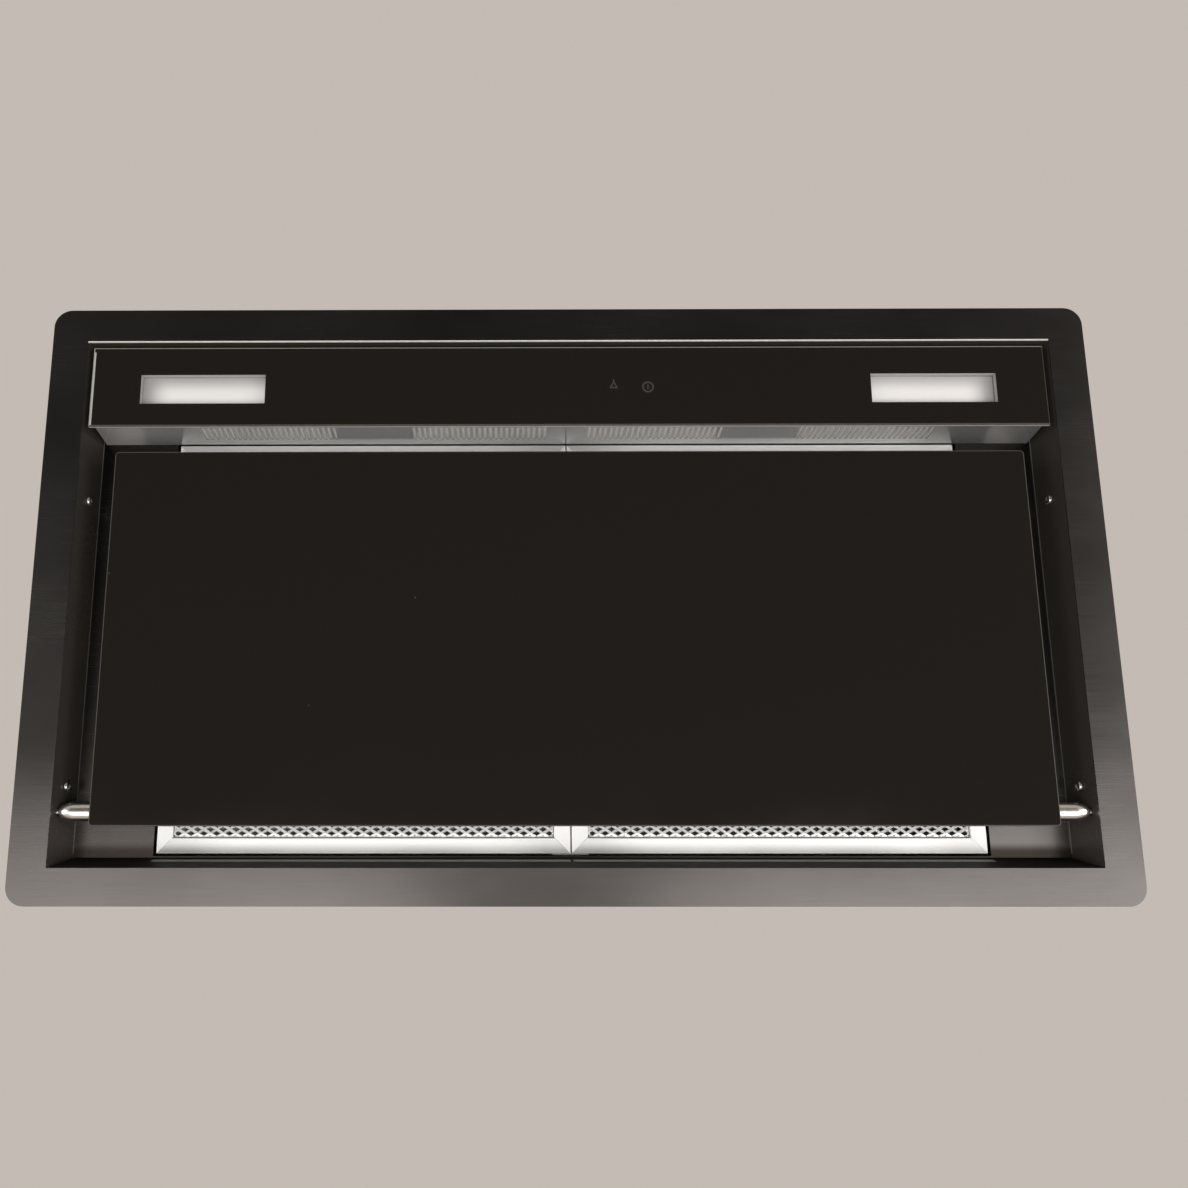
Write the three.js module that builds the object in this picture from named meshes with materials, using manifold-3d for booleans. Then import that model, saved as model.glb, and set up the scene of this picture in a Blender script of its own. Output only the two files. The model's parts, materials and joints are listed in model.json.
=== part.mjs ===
// Built-in range hood insert, seen from the cook's side: a flush flange frame with a recess,
// a glass control bar, a hinged glass suction panel, two grease filters, and above them a
// casing with a double-inlet blower, an exhaust collar and two non-return flaps.
//
// Millimetres. +Z is up as installed, and z = 0 is the visible underside of the flange.
// The control bar is on the -Y side and the panel's pivots are on the +Y side.

import * as THREE from 'three';
import { mergeVertices } from 'three/addons/utils/BufferGeometryUtils.js';
import Module from 'manifold-3d';

const wasm = await Module();
wasm.setup();

// ---------------------------------------------------------------- driving dimensions

const SHEET = 1.0;                  // folded sheet thickness
const GAP = 0.4;                    // clearance between pieces that touch
const RUNNING_GAP = 0.5;            // radial clearance of a pin or a shaft in its hole
const PAST = 1;                     // a cutting shape reaches this far past the faces it cuts

// flange frame and recess
const FLANGE_WIDTH = 700;
const FLANGE_DEPTH = 394;
const FLANGE_CORNER_RADIUS = 12;
const FLANGE_SIDE_MARGIN = 24;
const FLANGE_END_MARGIN = 23;
const RIM_HEIGHT = 3;
const RIM_RETURN = 12;
const RECESS_DEPTH = 30;
const WALL_DRAFT = 5.3;             // how far each recess wall leans in over the recess depth

// grease filters
const DECK_BORDER = 51.2;           // from the side walls to the opening for the filters
const FILTER_FROM_BAR = 4.5;        // from the glass of the control bar to the filters
const FILTER_THICKNESS = 9;
const FILTER_GAP = 2;               // between the two filters
const FILTER_SIDE_GAP = 2;          // around them in the deck
const FILTER_REAR_GAP = 1.5;
const FILTER_MEMBER = 10;
const MESH_INSET = 1;               // the mesh pad is thinner than its frame by this on each face

// filter latches
const LATCH_WIDTH = 52;
const LATCH_LENGTH = 23;
const LATCH_THICKNESS = 3.5;
const LATCH_TRAVEL = 5;
const LATCH_END_GAP = 1;            // left behind the latch when it is pulled back
const LATCH_POCKET_MARGIN = 4;
const LATCH_HOUSING_WALL = 5;
const TONGUE_WIDTH = 20;
const TONGUE_THICKNESS = 2.4;
const TONGUE_ENGAGEMENT = 3;
const FINGER_TAB_DROP = 6;
const FINGER_TAB_THICKNESS = 3;

// control bar
const BAR_SIDE_GAP = 4.2;           // from the recess edges to the ends of the glass
const BAR_GLASS_DEPTH = 56.4;
const BAR_FRONT_GAP = 4.3;          // from the recess edge to the glass
const BAR_GLASS_THICKNESS = 4;
const BAR_GLASS_BEVEL = 1;
const BAR_HOUSING_INSET = 2.8;      // the glass stands this proud of the housing at its ends
const BAR_FACE_INSET = 1.5;         // and this proud of the foot of the slotted face
const BAR_FACE_DRAFT = 3;           // lean of the slotted face
const SLOT_PITCH = 3.7;
const SLOT_WIDTH = 1.8;
const SLOT_HEIGHT = 16;
const SLOT_BOTTOM = 7;
const SLOTS_PER_GROUP = 25;
const SLOT_GROUP_FROM_MIDDLE = 59.5;
const SLOT_GROUP_FROM_END = 119.3;  // from the ends of the glass to the middle of an outer group

// lights and touch board
const LIGHT_FROM_END = 75.8;        // from the ends of the glass to the middle of each window
const LIGHT_WINDOW_WIDTH = 84;
const LIGHT_WINDOW_DEPTH = 20.4;
const LIGHT_WINDOW_OFFSET = 20;     // from the front edge of the glass
const LENS_THICKNESS = 2;
const LENS_MARGIN = 3;
const LIGHT_MODULE_HEIGHT = 12;
const TOUCH_BOARD_WIDTH = 150;
const TOUCH_BOARD_DEPTH = 24;
const TOUCH_BOARD_THICKNESS = 1.6;
const TOUCH_WINDOW_MARGIN = 4;

// suction panel
const PANEL_SIDE_GAP = 24;          // suction gaps from the panel to the recess edges
const PANEL_REAR_GAP = 25.1;
const PANEL_FRONT_GAP = 19.1;       // suction gap from the glass of the control bar
const PANEL_GLASS_THICKNESS = 4;
const PANEL_GLASS_BEVEL = 0.8;
const PANEL_TRAY_INSET = 1;
const PANEL_TRAY_HEIGHT = 8;
const PANEL_TRAY_RETURN = 12;

// pivots
const PIVOT_FROM_REAR = 8.9;        // pin axis to the rear edge of the panel
const PIVOT_ABOVE_TRAY = 3.2;       // pin axis above the tray's sheet
const PIN_RADIUS = 6;
const PIN_LENGTH = 19;
const PIN_CHAMFER = 2;
const PIN_TIP_RADIUS = 2;
const PIN_TIP_LENGTH = 7;
const PIN_SHANK_LENGTH = 14;
const PIN_BLOCK_LENGTH = 11;
const PIN_BLOCK_DEPTH = 12;
const PIVOT_BLOCK_DEPTH = 16;
const PIVOT_BLOCK_HEIGHT = 14;
const PIVOT_BLOCK_REACH = 10;

// catch posts
const CATCH_FROM_SIDE = 15;         // from the sides of the panel to the middle of each post
const CATCH_POST_SIZE = 20;
const MAGNET_RADIUS = 5;
const MAGNET_LENGTH = 6;
const MAGNET_PROUD = 2;

// spring clips and their screws
const CLIP_WIDTH = 12;
const CLIP_THICKNESS = 1.5;
const CLIP_REACH = 19;
const CLIP_GRIP_HEIGHT = 19;        // thickness of the cabinet board that the clips press on
const CLIP_FOOT = 9;                // length of the clip below its screw
const CLIP_SCREW_HEIGHT = 15;
const CLIP_SCREW_FROM_FRONT = 131.5;
const CLIP_SCREW_FROM_REAR = 73;
const SCREW_HEAD_RADIUS = 2.9;
const SCREW_HEAD_HEIGHT = 1.6;
const SCREW_RADIUS = 1.5;
const SCREW_LENGTH = 9;
const SCREW_TOP_RADIUS = 1.75;      // flat top of the domed head
const SCREW_DOME = 0.3;
const SCREW_BRIM = 0.4;

// casings
const PLENUM_HEIGHT = 79;
const PLENUM_INSET = 0.7;           // the casing stands this far inside the deck's edge
const MOTOR_CASING_WIDTH = 270;
const MOTOR_CASING_DEPTH = 250;
const MOTOR_CASING_HEIGHT = 155;
const MOTOR_CASING_LIP = 14;
const CASING_CORNER_RADIUS = 4;
const CENTRE_RAIL_WIDTH = 24;
const CENTRE_RAIL_FOOT = 14;
const CENTRE_RAIL_SETBACK = 1;      // from the edge of the deck's opening

// blower
const IMPELLER_RADIUS = 60;
const IMPELLER_WIDTH = 116;
const BLADE_DEPTH = 10;
const BLADE_THICKNESS = 1.2;
const BLADE_COUNT = 30;
const BLADE_LEAN = 0.6;             // radians from the radius
const IMPELLER_DISC = 1.5;          // thickness of the disc that closes each half's inner end
const END_RING_WIDTH = 3;
const HUB_RADIUS = 12;
const HUB_LENGTH = 15.5;            // from the middle of the wheel
const SHAFT_END_GAP = 2;            // from an end of the shaft to the end of its bore
const BLOWER_CENTRE_Y = -22;
const SCROLL_WIDTH = 132;
const SCROLL_WALL = 2.2;
const SCROLL_START_GAP = 7;         // between the impeller and the tongue
const SCROLL_GROWTH = 36;           // growth of the scroll's radius in a full turn
const TONGUE_ANGLE = 70;            // degrees from +Y towards +Z
const SCROLL_FLOOR_CLEARANCE = 17;  // above the filters
const SCROLL_FLANGE = 8;
const INLET_RADIUS = 55.5;
const INLET_RING_WIDTH = 8.5;
const INLET_RING_THICKNESS = 3.2;
const INLET_RING_OUTER_STEP = 1.5;
const INLET_RING_INNER_STEP = 2.5;

// motor
const MOTOR_RADIUS = 38;
const MOTOR_INNER_END = -6.5;
const MOTOR_CAP_RADIUS = 30;        // raised middle of the outer end cap
const MOTOR_CAP_HEIGHT = 6;
const MOTOR_SHOULDER = 10;          // length of the rounded shoulders at both ends
const MOTOR_SHOULDER_STEP = 4;
const MOTOR_BOSS_LENGTH = 5;
const SHAFT_RADIUS = 4;
const BRACKET_THICKNESS = 2;
const BRACKET_RING_RADIUS = 30;
const BRACKET_ARM_WIDTH = 12;
const BRACKET_ARM_RADIUS = 74;
const RUBBER_MOUNT_RADIUS = 4.5;
const RUBBER_MOUNT_CIRCLE = 69;
const CAPACITOR_RADIUS = 15;
const CAPACITOR_LENGTH = 65;
const CAPACITOR_EDGE = 2;
const CAPACITOR_TERMINAL_RADIUS = 4;
const CAPACITOR_TERMINAL_LENGTH = 8;
const CAPACITOR_FROM_FRONT = 30;     // capacitor axis to the front of the motor casing
const CAPACITOR_ABOVE_FLOOR = 29.2;
const CAPACITOR_WALL_GAP = 7;
const CAPACITOR_CLIP_HEIGHT = 15;
const CAPACITOR_CLIP_THICKNESS = 1.6;

// exhaust collar and damper
const COLLAR_OUTER_RADIUS = 74.5;
const COLLAR_WALL = 1.5;
const COLLAR_HEIGHT = 60;
const COLLAR_FLANGE_RADIUS = 89;
const COLLAR_SEAT_WIDTH = 4;
const COLLAR_SEAT_HEIGHT = 3;       // underside of the flap seat above the casing
const COLLAR_BEAD_HEIGHT = 48;
const COLLAR_BEAD = 1.2;
const COLLAR_BEAD_HALF_LENGTH = 2;
const FLAP_THICKNESS = 1.2;
const FLAP_EDGE_GAP = 1.5;
const FLAP_HINGE_GAP = 0.8;
const DAMPER_AXLE_RADIUS = 1.5;
const KNUCKLE_WALL = 1.3;
const KNUCKLE_LENGTH = 18;
const KNUCKLE_CENTRES = [-46, 18];  // of the front flap; the rear flap's lie the other way round

// electrical boxes on the plenum casing
const TERMINAL_BOX_SIZE = [92, 120, 34];
const TERMINAL_BOX_WALL = 2;
const DRIVER_BOX_SIZE = [84, 140, 28];
const BOX_FROM_END = 34;            // from the ends of the plenum casing to the boxes
const LID_THICKNESS = 2.2;
const GLAND_RADIUS = 9;
const GLAND_LENGTH = 18;
const GLAND_BORE = 4.5;
const GLAND_NUT_LENGTH = 9;
const GLAND_THREAD_RADIUS = 6;
const GLAND_THREAD_LENGTH = 6;      // inside the box
const GLAND_NOSE_STEP = 1;
const GLAND_NOSE_LENGTH = 3;
const LID_BEVEL = 0.6;

const ROUND = 40;                   // sides of a large round
const SMALL_ROUND = 20;             // sides of a small round

// ---------------------------------------------------------------- derived places

const openHalfX = FLANGE_WIDTH / 2 - FLANGE_SIDE_MARGIN;
const openHalfY = FLANGE_DEPTH / 2 - FLANGE_END_MARGIN;
const deckHalfX = openHalfX - WALL_DRAFT;
const deckHalfY = openHalfY - WALL_DRAFT;
const wallSlope = Math.atan2(WALL_DRAFT, RECESS_DEPTH);
const deckTop = RECESS_DEPTH + SHEET;

// inner face of a side wall at height z
const wallX = (z) => openHalfX - (WALL_DRAFT * z) / RECESS_DEPTH;

const barHalfX = openHalfX - BAR_SIDE_GAP;
const barFront = -openHalfY + BAR_FRONT_GAP;
const barRear = barFront + BAR_GLASS_DEPTH;
const barFloor = BAR_GLASS_THICKNESS + GAP;
const barFloorTop = barFloor + SHEET;

const panelHalfX = openHalfX - PANEL_SIDE_GAP;
const panelFront = barRear + PANEL_FRONT_GAP;
const panelRear = openHalfY - PANEL_REAR_GAP;
const trayFloor = PANEL_GLASS_THICKNESS + GAP;
const trayFloorTop = trayFloor + SHEET;
const trayTop = trayFloor + PANEL_TRAY_HEIGHT;
const trayHalfX = panelHalfX - PANEL_TRAY_INSET;
const trayFront = panelFront + PANEL_TRAY_INSET;
const trayRear = panelRear - PANEL_TRAY_INSET;

const pivotY = panelRear - PIVOT_FROM_REAR;
const pivotZ = trayFloorTop + PIVOT_ABOVE_TRAY;
const pinStartX = panelHalfX + GAP;

const filterRear = deckHalfY - FILTER_REAR_GAP - FILTER_SIDE_GAP / 2;
const filterFront = barRear + FILTER_FROM_BAR;
const filterInnerX = FILTER_GAP / 2;
const filterOuterX = deckHalfX - DECK_BORDER - FILTER_SIDE_GAP;
const filterTop = RECESS_DEPTH + FILTER_THICKNESS;
const deckOpeningFront = filterFront - FILTER_REAR_GAP;
const deckOpeningRear = filterRear + FILTER_REAR_GAP;
const deckOpeningHalfX = filterOuterX + FILTER_SIDE_GAP;

const plenumFloor = deckTop + GAP;
const plenumTop = plenumFloor + PLENUM_HEIGHT;
const plenumHalfX = deckHalfX - PLENUM_INSET;
const plenumHalfY = deckHalfY - PLENUM_INSET + SHEET;
const motorFloor = plenumTop + GAP;
const motorTop = motorFloor + MOTOR_CASING_HEIGHT;

const scrollStart = IMPELLER_RADIUS + SCROLL_START_GAP;
const scrollRadius = (turn) => scrollStart + (SCROLL_GROWTH * turn) / 360;
const scrollBottomRadius = scrollRadius(270 - TONGUE_ANGLE) + SCROLL_WALL;
const blowerZ = filterTop + SCROLL_FLOOR_CLEARANCE + scrollBottomRadius;
const outletRearY = BLOWER_CENTRE_Y + scrollRadius(360 - TONGUE_ANGLE);
const outletFrontY = BLOWER_CENTRE_Y + scrollStart * Math.cos(THREE.MathUtils.degToRad(TONGUE_ANGLE));
const scrollTop = motorTop - SHEET - GAP;
const collarY = (outletFrontY + outletRearY) / 2;
const collarBase = motorTop + GAP;

// ---------------------------------------------------------------- finishes

const finish = (color, roughness, metalness) => ({ color, roughness, metalness });
const FINISH = {
  darkSteel: finish(0x3a3735, 0.35, 0.9),
  galvanised: finish(0xa9adae, 0.45, 0.9),
  blackGlass: finish(0x0c0b0a, 0.08, 0.0),
  aluminium: finish(0xd8d8d6, 0.35, 0.9),
  mesh: finish(0xb9b8b4, 0.5, 0.9),
  chrome: finish(0xe8e4de, 0.1, 1.0),
  steel: finish(0x8d9092, 0.35, 0.9),
  blackPlastic: finish(0x1b1b1c, 0.55, 0.0),
  whitePlastic: finish(0xe6e6e2, 0.5, 0.0),
  greyPlastic: finish(0x6f7274, 0.55, 0.0),
  lens: finish(0xf4f3ef, 0.4, 0.0),
  circuitBoard: finish(0x1f5a35, 0.5, 0.0),
  rubber: finish(0x171717, 0.8, 0.0),
};

// ---------------------------------------------------------------- geometry helpers

// A closed three.js geometry as a solid that can be joined and cut.
function solid(geometry) {
  const bare = new THREE.BufferGeometry();
  bare.setAttribute('position', geometry.getAttribute('position'));
  if (geometry.index) bare.setIndex(geometry.index);
  const merged = mergeVertices(bare, 1e-4);
  return new wasm.Manifold(new wasm.Mesh({
    numProp: 3,
    vertProperties: new Float32Array(merged.getAttribute('position').array),
    triVerts: new Uint32Array(merged.index.array),
  }));
}

function geometryOf(shape) {
  const mesh = shape.getMesh();
  const geometry = new THREE.BufferGeometry();
  geometry.setAttribute('position', new THREE.BufferAttribute(mesh.vertProperties, 3));
  geometry.setIndex(new THREE.BufferAttribute(mesh.triVerts, 1));
  geometry.computeVertexNormals();
  return geometry;
}

const join = (shapes) => shapes.reduce((sum, shape) => sum.add(shape));
const cut = (shape, tools) => tools.reduce((rest, tool) => rest.subtract(tool), shape);

function block([x0, x1], [y0, y1], [z0, z1]) {
  const geometry = new THREE.BoxGeometry(x1 - x0, y1 - y0, z1 - z0);
  geometry.translate((x0 + x1) / 2, (y0 + y1) / 2, (z0 + z1) / 2);
  return solid(geometry);
}

// A block whose half sizes change from its low face to its high one.
function taperedBlock(low, high) {
  const geometry = new THREE.BoxGeometry(2, 2, 2);
  const position = geometry.getAttribute('position');
  for (let i = 0; i < position.count; i += 1) {
    const end = position.getZ(i) < 0 ? low : high;
    const x = position.getX(i) < 0 ? end.x[0] : end.x[1];
    const y = position.getY(i) < 0 ? end.y[0] : end.y[1];
    position.setXYZ(i, x, y, end.z);
  }
  return solid(geometry);
}

function roundedRectangle(halfX, halfY, radius) {
  const shape = new THREE.Shape();
  const corners = [[1, 1], [-1, 1], [-1, -1], [1, -1]];
  corners.forEach(([sideX, sideY], i) => {
    const from = (i * Math.PI) / 2;
    shape.absarc(sideX * (halfX - radius), sideY * (halfY - radius), radius, from, from + Math.PI / 2);
  });
  shape.closePath();
  return shape;
}

function extrude(shape, depth, curveSegments = 6) {
  return new THREE.ExtrudeGeometry(shape, { depth, bevelEnabled: false, curveSegments });
}

function roundedPlate(halfX, halfY, radius, [z0, z1]) {
  const geometry = extrude(roundedRectangle(halfX, halfY, radius), z1 - z0);
  geometry.translate(0, 0, z0);
  return solid(geometry);
}

// A plate whose lower and upper edges are bevelled.
function bevelledPlate([x0, x1], [y0, y1], [z0, z1], bevel) {
  const shape = new THREE.Shape();
  shape.moveTo(x0 + bevel, y0 + bevel);
  shape.lineTo(x1 - bevel, y0 + bevel);
  shape.lineTo(x1 - bevel, y1 - bevel);
  shape.lineTo(x0 + bevel, y1 - bevel);
  shape.closePath();
  const geometry = new THREE.ExtrudeGeometry(shape, {
    depth: z1 - z0 - 2 * bevel, bevelThickness: bevel, bevelSize: bevel, bevelSegments: 1,
  });
  geometry.translate(0, 0, z0 + bevel);
  return solid(geometry);
}

// A profile of [radius, height] points turned about Z.
function turned(profile, sides) {
  const points = profile.map(([radius, height]) => new THREE.Vector2(radius, height));
  const geometry = new THREE.LatheGeometry(points, sides);
  geometry.rotateX(Math.PI / 2);
  return geometry;
}

const disc = (radius, [z0, z1], sides) => turned([[0, z0], [radius, z0], [radius, z1], [0, z1]], sides);

function ring(inner, outer, [z0, z1], sides) {
  return turned([[inner, z0], [outer, z0], [outer, z1], [inner, z1], [inner, z0]], sides);
}

// Turns a geometry modelled along +Z so that it runs along +X.
const alongX = (geometry) => geometry.rotateY(Math.PI / 2);

// A round rod along X.
const rodX = (radius, [x0, x1], y, z, sides = SMALL_ROUND) => (
  solid(alongX(disc(radius, [x0, x1], sides)).translate(0, y, z))
);

// The outline in the XZ plane, extruded along Y between y0 and y1.
function prismY(points, [y0, y1]) {
  const shape = new THREE.Shape(points.map(([x, z]) => new THREE.Vector2(x, z)));
  const geometry = extrude(shape, y1 - y0);
  geometry.rotateX(Math.PI / 2);
  geometry.translate(0, y1, 0);
  return solid(geometry);
}

// An outline in the YZ plane, extruded along X between x0 and x1.
function prismX(points, [x0, x1]) {
  const shape = new THREE.Shape(points.map(([y, z]) => new THREE.Vector2(y, z)));
  const geometry = extrude(shape, x1 - x0);
  geometry.rotateZ(Math.PI / 2);
  geometry.rotateY(Math.PI / 2);
  geometry.translate(x0, 0, 0);
  return solid(geometry);
}

// The shape mirrored to the other side of the YZ plane.
const mirrored = (shape) => shape.mirror([1, 0, 0]);
const onSide = (side, shape) => (side === 'left' ? mirrored(shape) : shape);

const SIDES = ['left', 'right'];
const ENDS = ['front', 'rear'];

// ---------------------------------------------------------------- the group

const group = new THREE.Group();

function addGeometry(name, geometry, look, place = [0, 0, 0]) {
  const mesh = new THREE.Mesh(geometry, new THREE.MeshStandardMaterial(look));
  mesh.name = name;
  mesh.position.set(...place);
  group.add(mesh);
}

const add = (name, shape, look, place) => addGeometry(name, geometryOf(shape), look, place);

// ---------------------------------------------------------------- flange tray

const clipRows = [
  -FLANGE_DEPTH / 2 + CLIP_SCREW_FROM_FRONT,
  FLANGE_DEPTH / 2 - CLIP_SCREW_FROM_REAR,
];

// A geometry modelled from the origin along +X, placed square to the right wall's inner face.
function onWall(geometry, y, z) {
  geometry.rotateY(-wallSlope);
  geometry.translate(wallX(z), y, z);
  return solid(geometry);
}

function screwHole(y) {
  const length = [-SCREW_LENGTH, SCREW_LENGTH];
  return onWall(alongX(disc(SCREW_RADIUS + RUNNING_GAP, length, 12)), y, CLIP_SCREW_HEIGHT);
}

function recessBlock(grow, z0, z1) {
  const at = (z) => {
    const halfX = wallX(z) + grow;
    const halfY = halfX - openHalfX + openHalfY;
    return { x: [-halfX, halfX], y: [-halfY, halfY], z };
  };
  return taperedBlock(at(z0), at(z1));
}

function flangeTray() {
  const halfX = FLANGE_WIDTH / 2;
  const halfY = FLANGE_DEPTH / 2;
  const plate = (inset, z) => roundedPlate(
    halfX - inset, halfY - inset, Math.max(FLANGE_CORNER_RADIUS - inset, 1), z,
  );
  const rim = plate(0, [0, RIM_HEIGHT]);
  const rimHollow = plate(SHEET, [SHEET, RIM_HEIGHT - SHEET]);
  const rimMouth = plate(RIM_RETURN, [SHEET, RIM_HEIGHT + PAST]);
  const shell = cut(rim, [rimHollow, rimMouth]).add(recessBlock(SHEET, 0, deckTop));
  const opening = block(
    [-deckOpeningHalfX, deckOpeningHalfX],
    [deckOpeningFront, deckOpeningRear],
    [RECESS_DEPTH - PAST, deckTop + PAST],
  );
  const tipHole = rodX(PIN_TIP_RADIUS + RUNNING_GAP, [deckHalfX, FLANGE_WIDTH / 2], pivotY, pivotZ, 16);
  const holes = [tipHole, ...clipRows.map(screwHole)];
  return cut(shell, [
    recessBlock(0, -PAST, RECESS_DEPTH),
    opening,
    ...holes,
    ...holes.map(mirrored),
  ]);
}

add('flange_tray', flangeTray(), FINISH.darkSteel);

// ---------------------------------------------------------------- spring clips and screws

// A leaf along the wall whose top end folds out and down onto the cabinet board.
function springClip(y) {
  const wallFace = (z) => wallX(z) + SHEET / Math.cos(wallSlope) + GAP;
  const bottom = CLIP_SCREW_HEIGHT - CLIP_FOOT;
  const bend = RECESS_DEPTH - CLIP_THICKNESS;
  const barbX = openHalfX + CLIP_REACH;
  const barbZ = RIM_HEIGHT + CLIP_GRIP_HEIGHT;
  const leaf = prismY([
    [wallFace(bottom), bottom],
    [wallFace(bottom) + CLIP_THICKNESS, bottom],
    [wallFace(bend) + CLIP_THICKNESS, bend - CLIP_THICKNESS],
    [barbX, barbZ - CLIP_THICKNESS],
    [barbX + CLIP_THICKNESS, barbZ],
    [wallFace(bend) + CLIP_THICKNESS, bend + CLIP_THICKNESS / 2],
    [wallFace(bend), bend],
  ], [y - CLIP_WIDTH / 2, y + CLIP_WIDTH / 2]);
  return leaf.subtract(screwHole(y));
}

function clipScrew(y) {
  const head = SCREW_HEAD_RADIUS;
  const top = -SCREW_HEAD_HEIGHT - GAP;
  const geometry = turned([
    [0, top],
    [SCREW_TOP_RADIUS, top + SCREW_DOME],
    [head, -GAP - SCREW_BRIM],
    [head, -GAP],
    [SCREW_RADIUS, -GAP],
    [SCREW_RADIUS, SCREW_LENGTH],
    [0, SCREW_LENGTH],
  ], 16);
  return onWall(alongX(geometry), y, CLIP_SCREW_HEIGHT);
}

SIDES.forEach((side) => {
  ENDS.forEach((end, row) => {
    add(`spring_clip_${end}_${side}`, onSide(side, springClip(clipRows[row])), FINISH.steel);
    add(`clip_screw_${end}_${side}`, onSide(side, clipScrew(clipRows[row])), FINISH.chrome);
  });
});

// ---------------------------------------------------------------- control bar

const windowFront = barFront + LIGHT_WINDOW_OFFSET;
const windowRear = windowFront + LIGHT_WINDOW_DEPTH;
const lightCentres = [-barHalfX + LIGHT_FROM_END, barHalfX - LIGHT_FROM_END];
const touchCentreY = (windowFront + windowRear) / 2;

const lightWindow = (x, margin, z) => block(
  [x - LIGHT_WINDOW_WIDTH / 2 - margin, x + LIGHT_WINDOW_WIDTH / 2 + margin],
  [windowFront - margin, windowRear + margin],
  z,
);

function controlGlass() {
  const glass = bevelledPlate(
    [-barHalfX, barHalfX],
    [barFront, barRear],
    [0, BAR_GLASS_THICKNESS],
    BAR_GLASS_BEVEL,
  );
  return cut(glass, lightCentres.map((x) => lightWindow(x, 0, [-PAST, BAR_GLASS_THICKNESS + PAST])));
}

const housingHalfX = barHalfX - BAR_HOUSING_INSET;
const slotGroupsRight = [SLOT_GROUP_FROM_MIDDLE, barHalfX - SLOT_GROUP_FROM_END];
const slotGroups = [...slotGroupsRight, ...slotGroupsRight.map((x) => -x)];
const housingTop = RECESS_DEPTH - GAP;
const housingFaceY = (z) => (
  barRear - BAR_FACE_INSET + (BAR_FACE_DRAFT * (z - barFloor)) / (housingTop - barFloor)
);

function controlHousing() {
  const front = -deckHalfY + GAP;
  const level = (inset, z) => ({
    x: [-housingHalfX + inset, housingHalfX - inset],
    y: [front + inset, housingFaceY(z) - inset],
    z,
  });
  const body = (inset, z0, z1) => taperedBlock(level(inset, z0), level(inset, z1));
  const slots = slotGroups.flatMap((centre) => (
    Array.from({ length: SLOTS_PER_GROUP }, (_, i) => {
      const x = centre + (i - (SLOTS_PER_GROUP - 1) / 2) * SLOT_PITCH;
      return block(
        [x - SLOT_WIDTH / 2, x + SLOT_WIDTH / 2],
        [barRear - 3 * BAR_FACE_INSET, barRear + 2 * BAR_FACE_DRAFT],
        [SLOT_BOTTOM, SLOT_BOTTOM + SLOT_HEIGHT],
      );
    })
  ));
  const touchWindow = block(
    [-TOUCH_BOARD_WIDTH / 2 + TOUCH_WINDOW_MARGIN, TOUCH_BOARD_WIDTH / 2 - TOUCH_WINDOW_MARGIN],
    [touchCentreY - TOUCH_BOARD_DEPTH / 2 + TOUCH_WINDOW_MARGIN,
      touchCentreY + TOUCH_BOARD_DEPTH / 2 - TOUCH_WINDOW_MARGIN],
    [barFloor - PAST, barFloorTop + PAST],
  );
  return cut(body(0, barFloor, housingTop), [
    body(SHEET, barFloorTop, housingTop + PAST),
    wasm.Manifold.union(slots),
    touchWindow,
    ...lightCentres.map((x) => lightWindow(x, 0, [barFloor - PAST, barFloorTop + PAST])),
  ]);
}

add('control_glass', controlGlass(), FINISH.blackGlass);
add('control_housing', controlHousing(), FINISH.darkSteel);

const lensFloor = barFloorTop + GAP;
const moduleFloor = lensFloor + LENS_THICKNESS + GAP;
SIDES.forEach((side, i) => {
  const x = lightCentres[i];
  const lens = lightWindow(x, LENS_MARGIN, [lensFloor, lensFloor + LENS_THICKNESS]);
  const module = lightWindow(x, LENS_MARGIN, [moduleFloor, moduleFloor + LIGHT_MODULE_HEIGHT]);
  add(`light_lens_${side}`, lens, FINISH.lens);
  add(`light_module_${side}`, module, FINISH.whitePlastic);
});

add('touch_board', block(
  [-TOUCH_BOARD_WIDTH / 2, TOUCH_BOARD_WIDTH / 2],
  [touchCentreY - TOUCH_BOARD_DEPTH / 2, touchCentreY + TOUCH_BOARD_DEPTH / 2],
  [lensFloor, lensFloor + TOUCH_BOARD_THICKNESS],
), FINISH.circuitBoard);

// ---------------------------------------------------------------- suction panel

add('panel_glass', bevelledPlate(
  [-panelHalfX, panelHalfX],
  [panelFront, panelRear],
  [0, PANEL_GLASS_THICKNESS],
  PANEL_GLASS_BEVEL,
), FINISH.blackGlass);

function panelTray() {
  const inset = (amount, z) => block(
    [-trayHalfX + amount, trayHalfX - amount],
    [trayFront + amount, trayRear - amount],
    z,
  );
  const throughWall = [trayHalfX - SHEET - PAST, trayHalfX + PAST];
  const shankHole = rodX(PIN_TIP_RADIUS + RUNNING_GAP, throughWall, pivotY, pivotZ, 16);
  return cut(inset(0, [trayFloor, trayTop]), [
    inset(SHEET, [trayFloorTop, trayTop - SHEET]),
    inset(PANEL_TRAY_RETURN, [trayFloorTop, trayTop + PAST]),
    shankHole,
    mirrored(shankHole),
  ]);
}

add('panel_tray', panelTray(), FINISH.steel);

function pivotPin() {
  const end = pinStartX + PIN_LENGTH;
  const geometry = turned([
    [0, pinStartX - PIN_SHANK_LENGTH],
    [PIN_TIP_RADIUS, pinStartX - PIN_SHANK_LENGTH],
    [PIN_TIP_RADIUS, pinStartX],
    [PIN_RADIUS, pinStartX],
    [PIN_RADIUS, end],
    [PIN_TIP_RADIUS, end + PIN_CHAMFER],
    [PIN_TIP_RADIUS, end + PIN_TIP_LENGTH],
    [0, end + PIN_TIP_LENGTH],
  ], 28);
  return solid(alongX(geometry).translate(0, pivotY, pivotZ));
}

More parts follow.
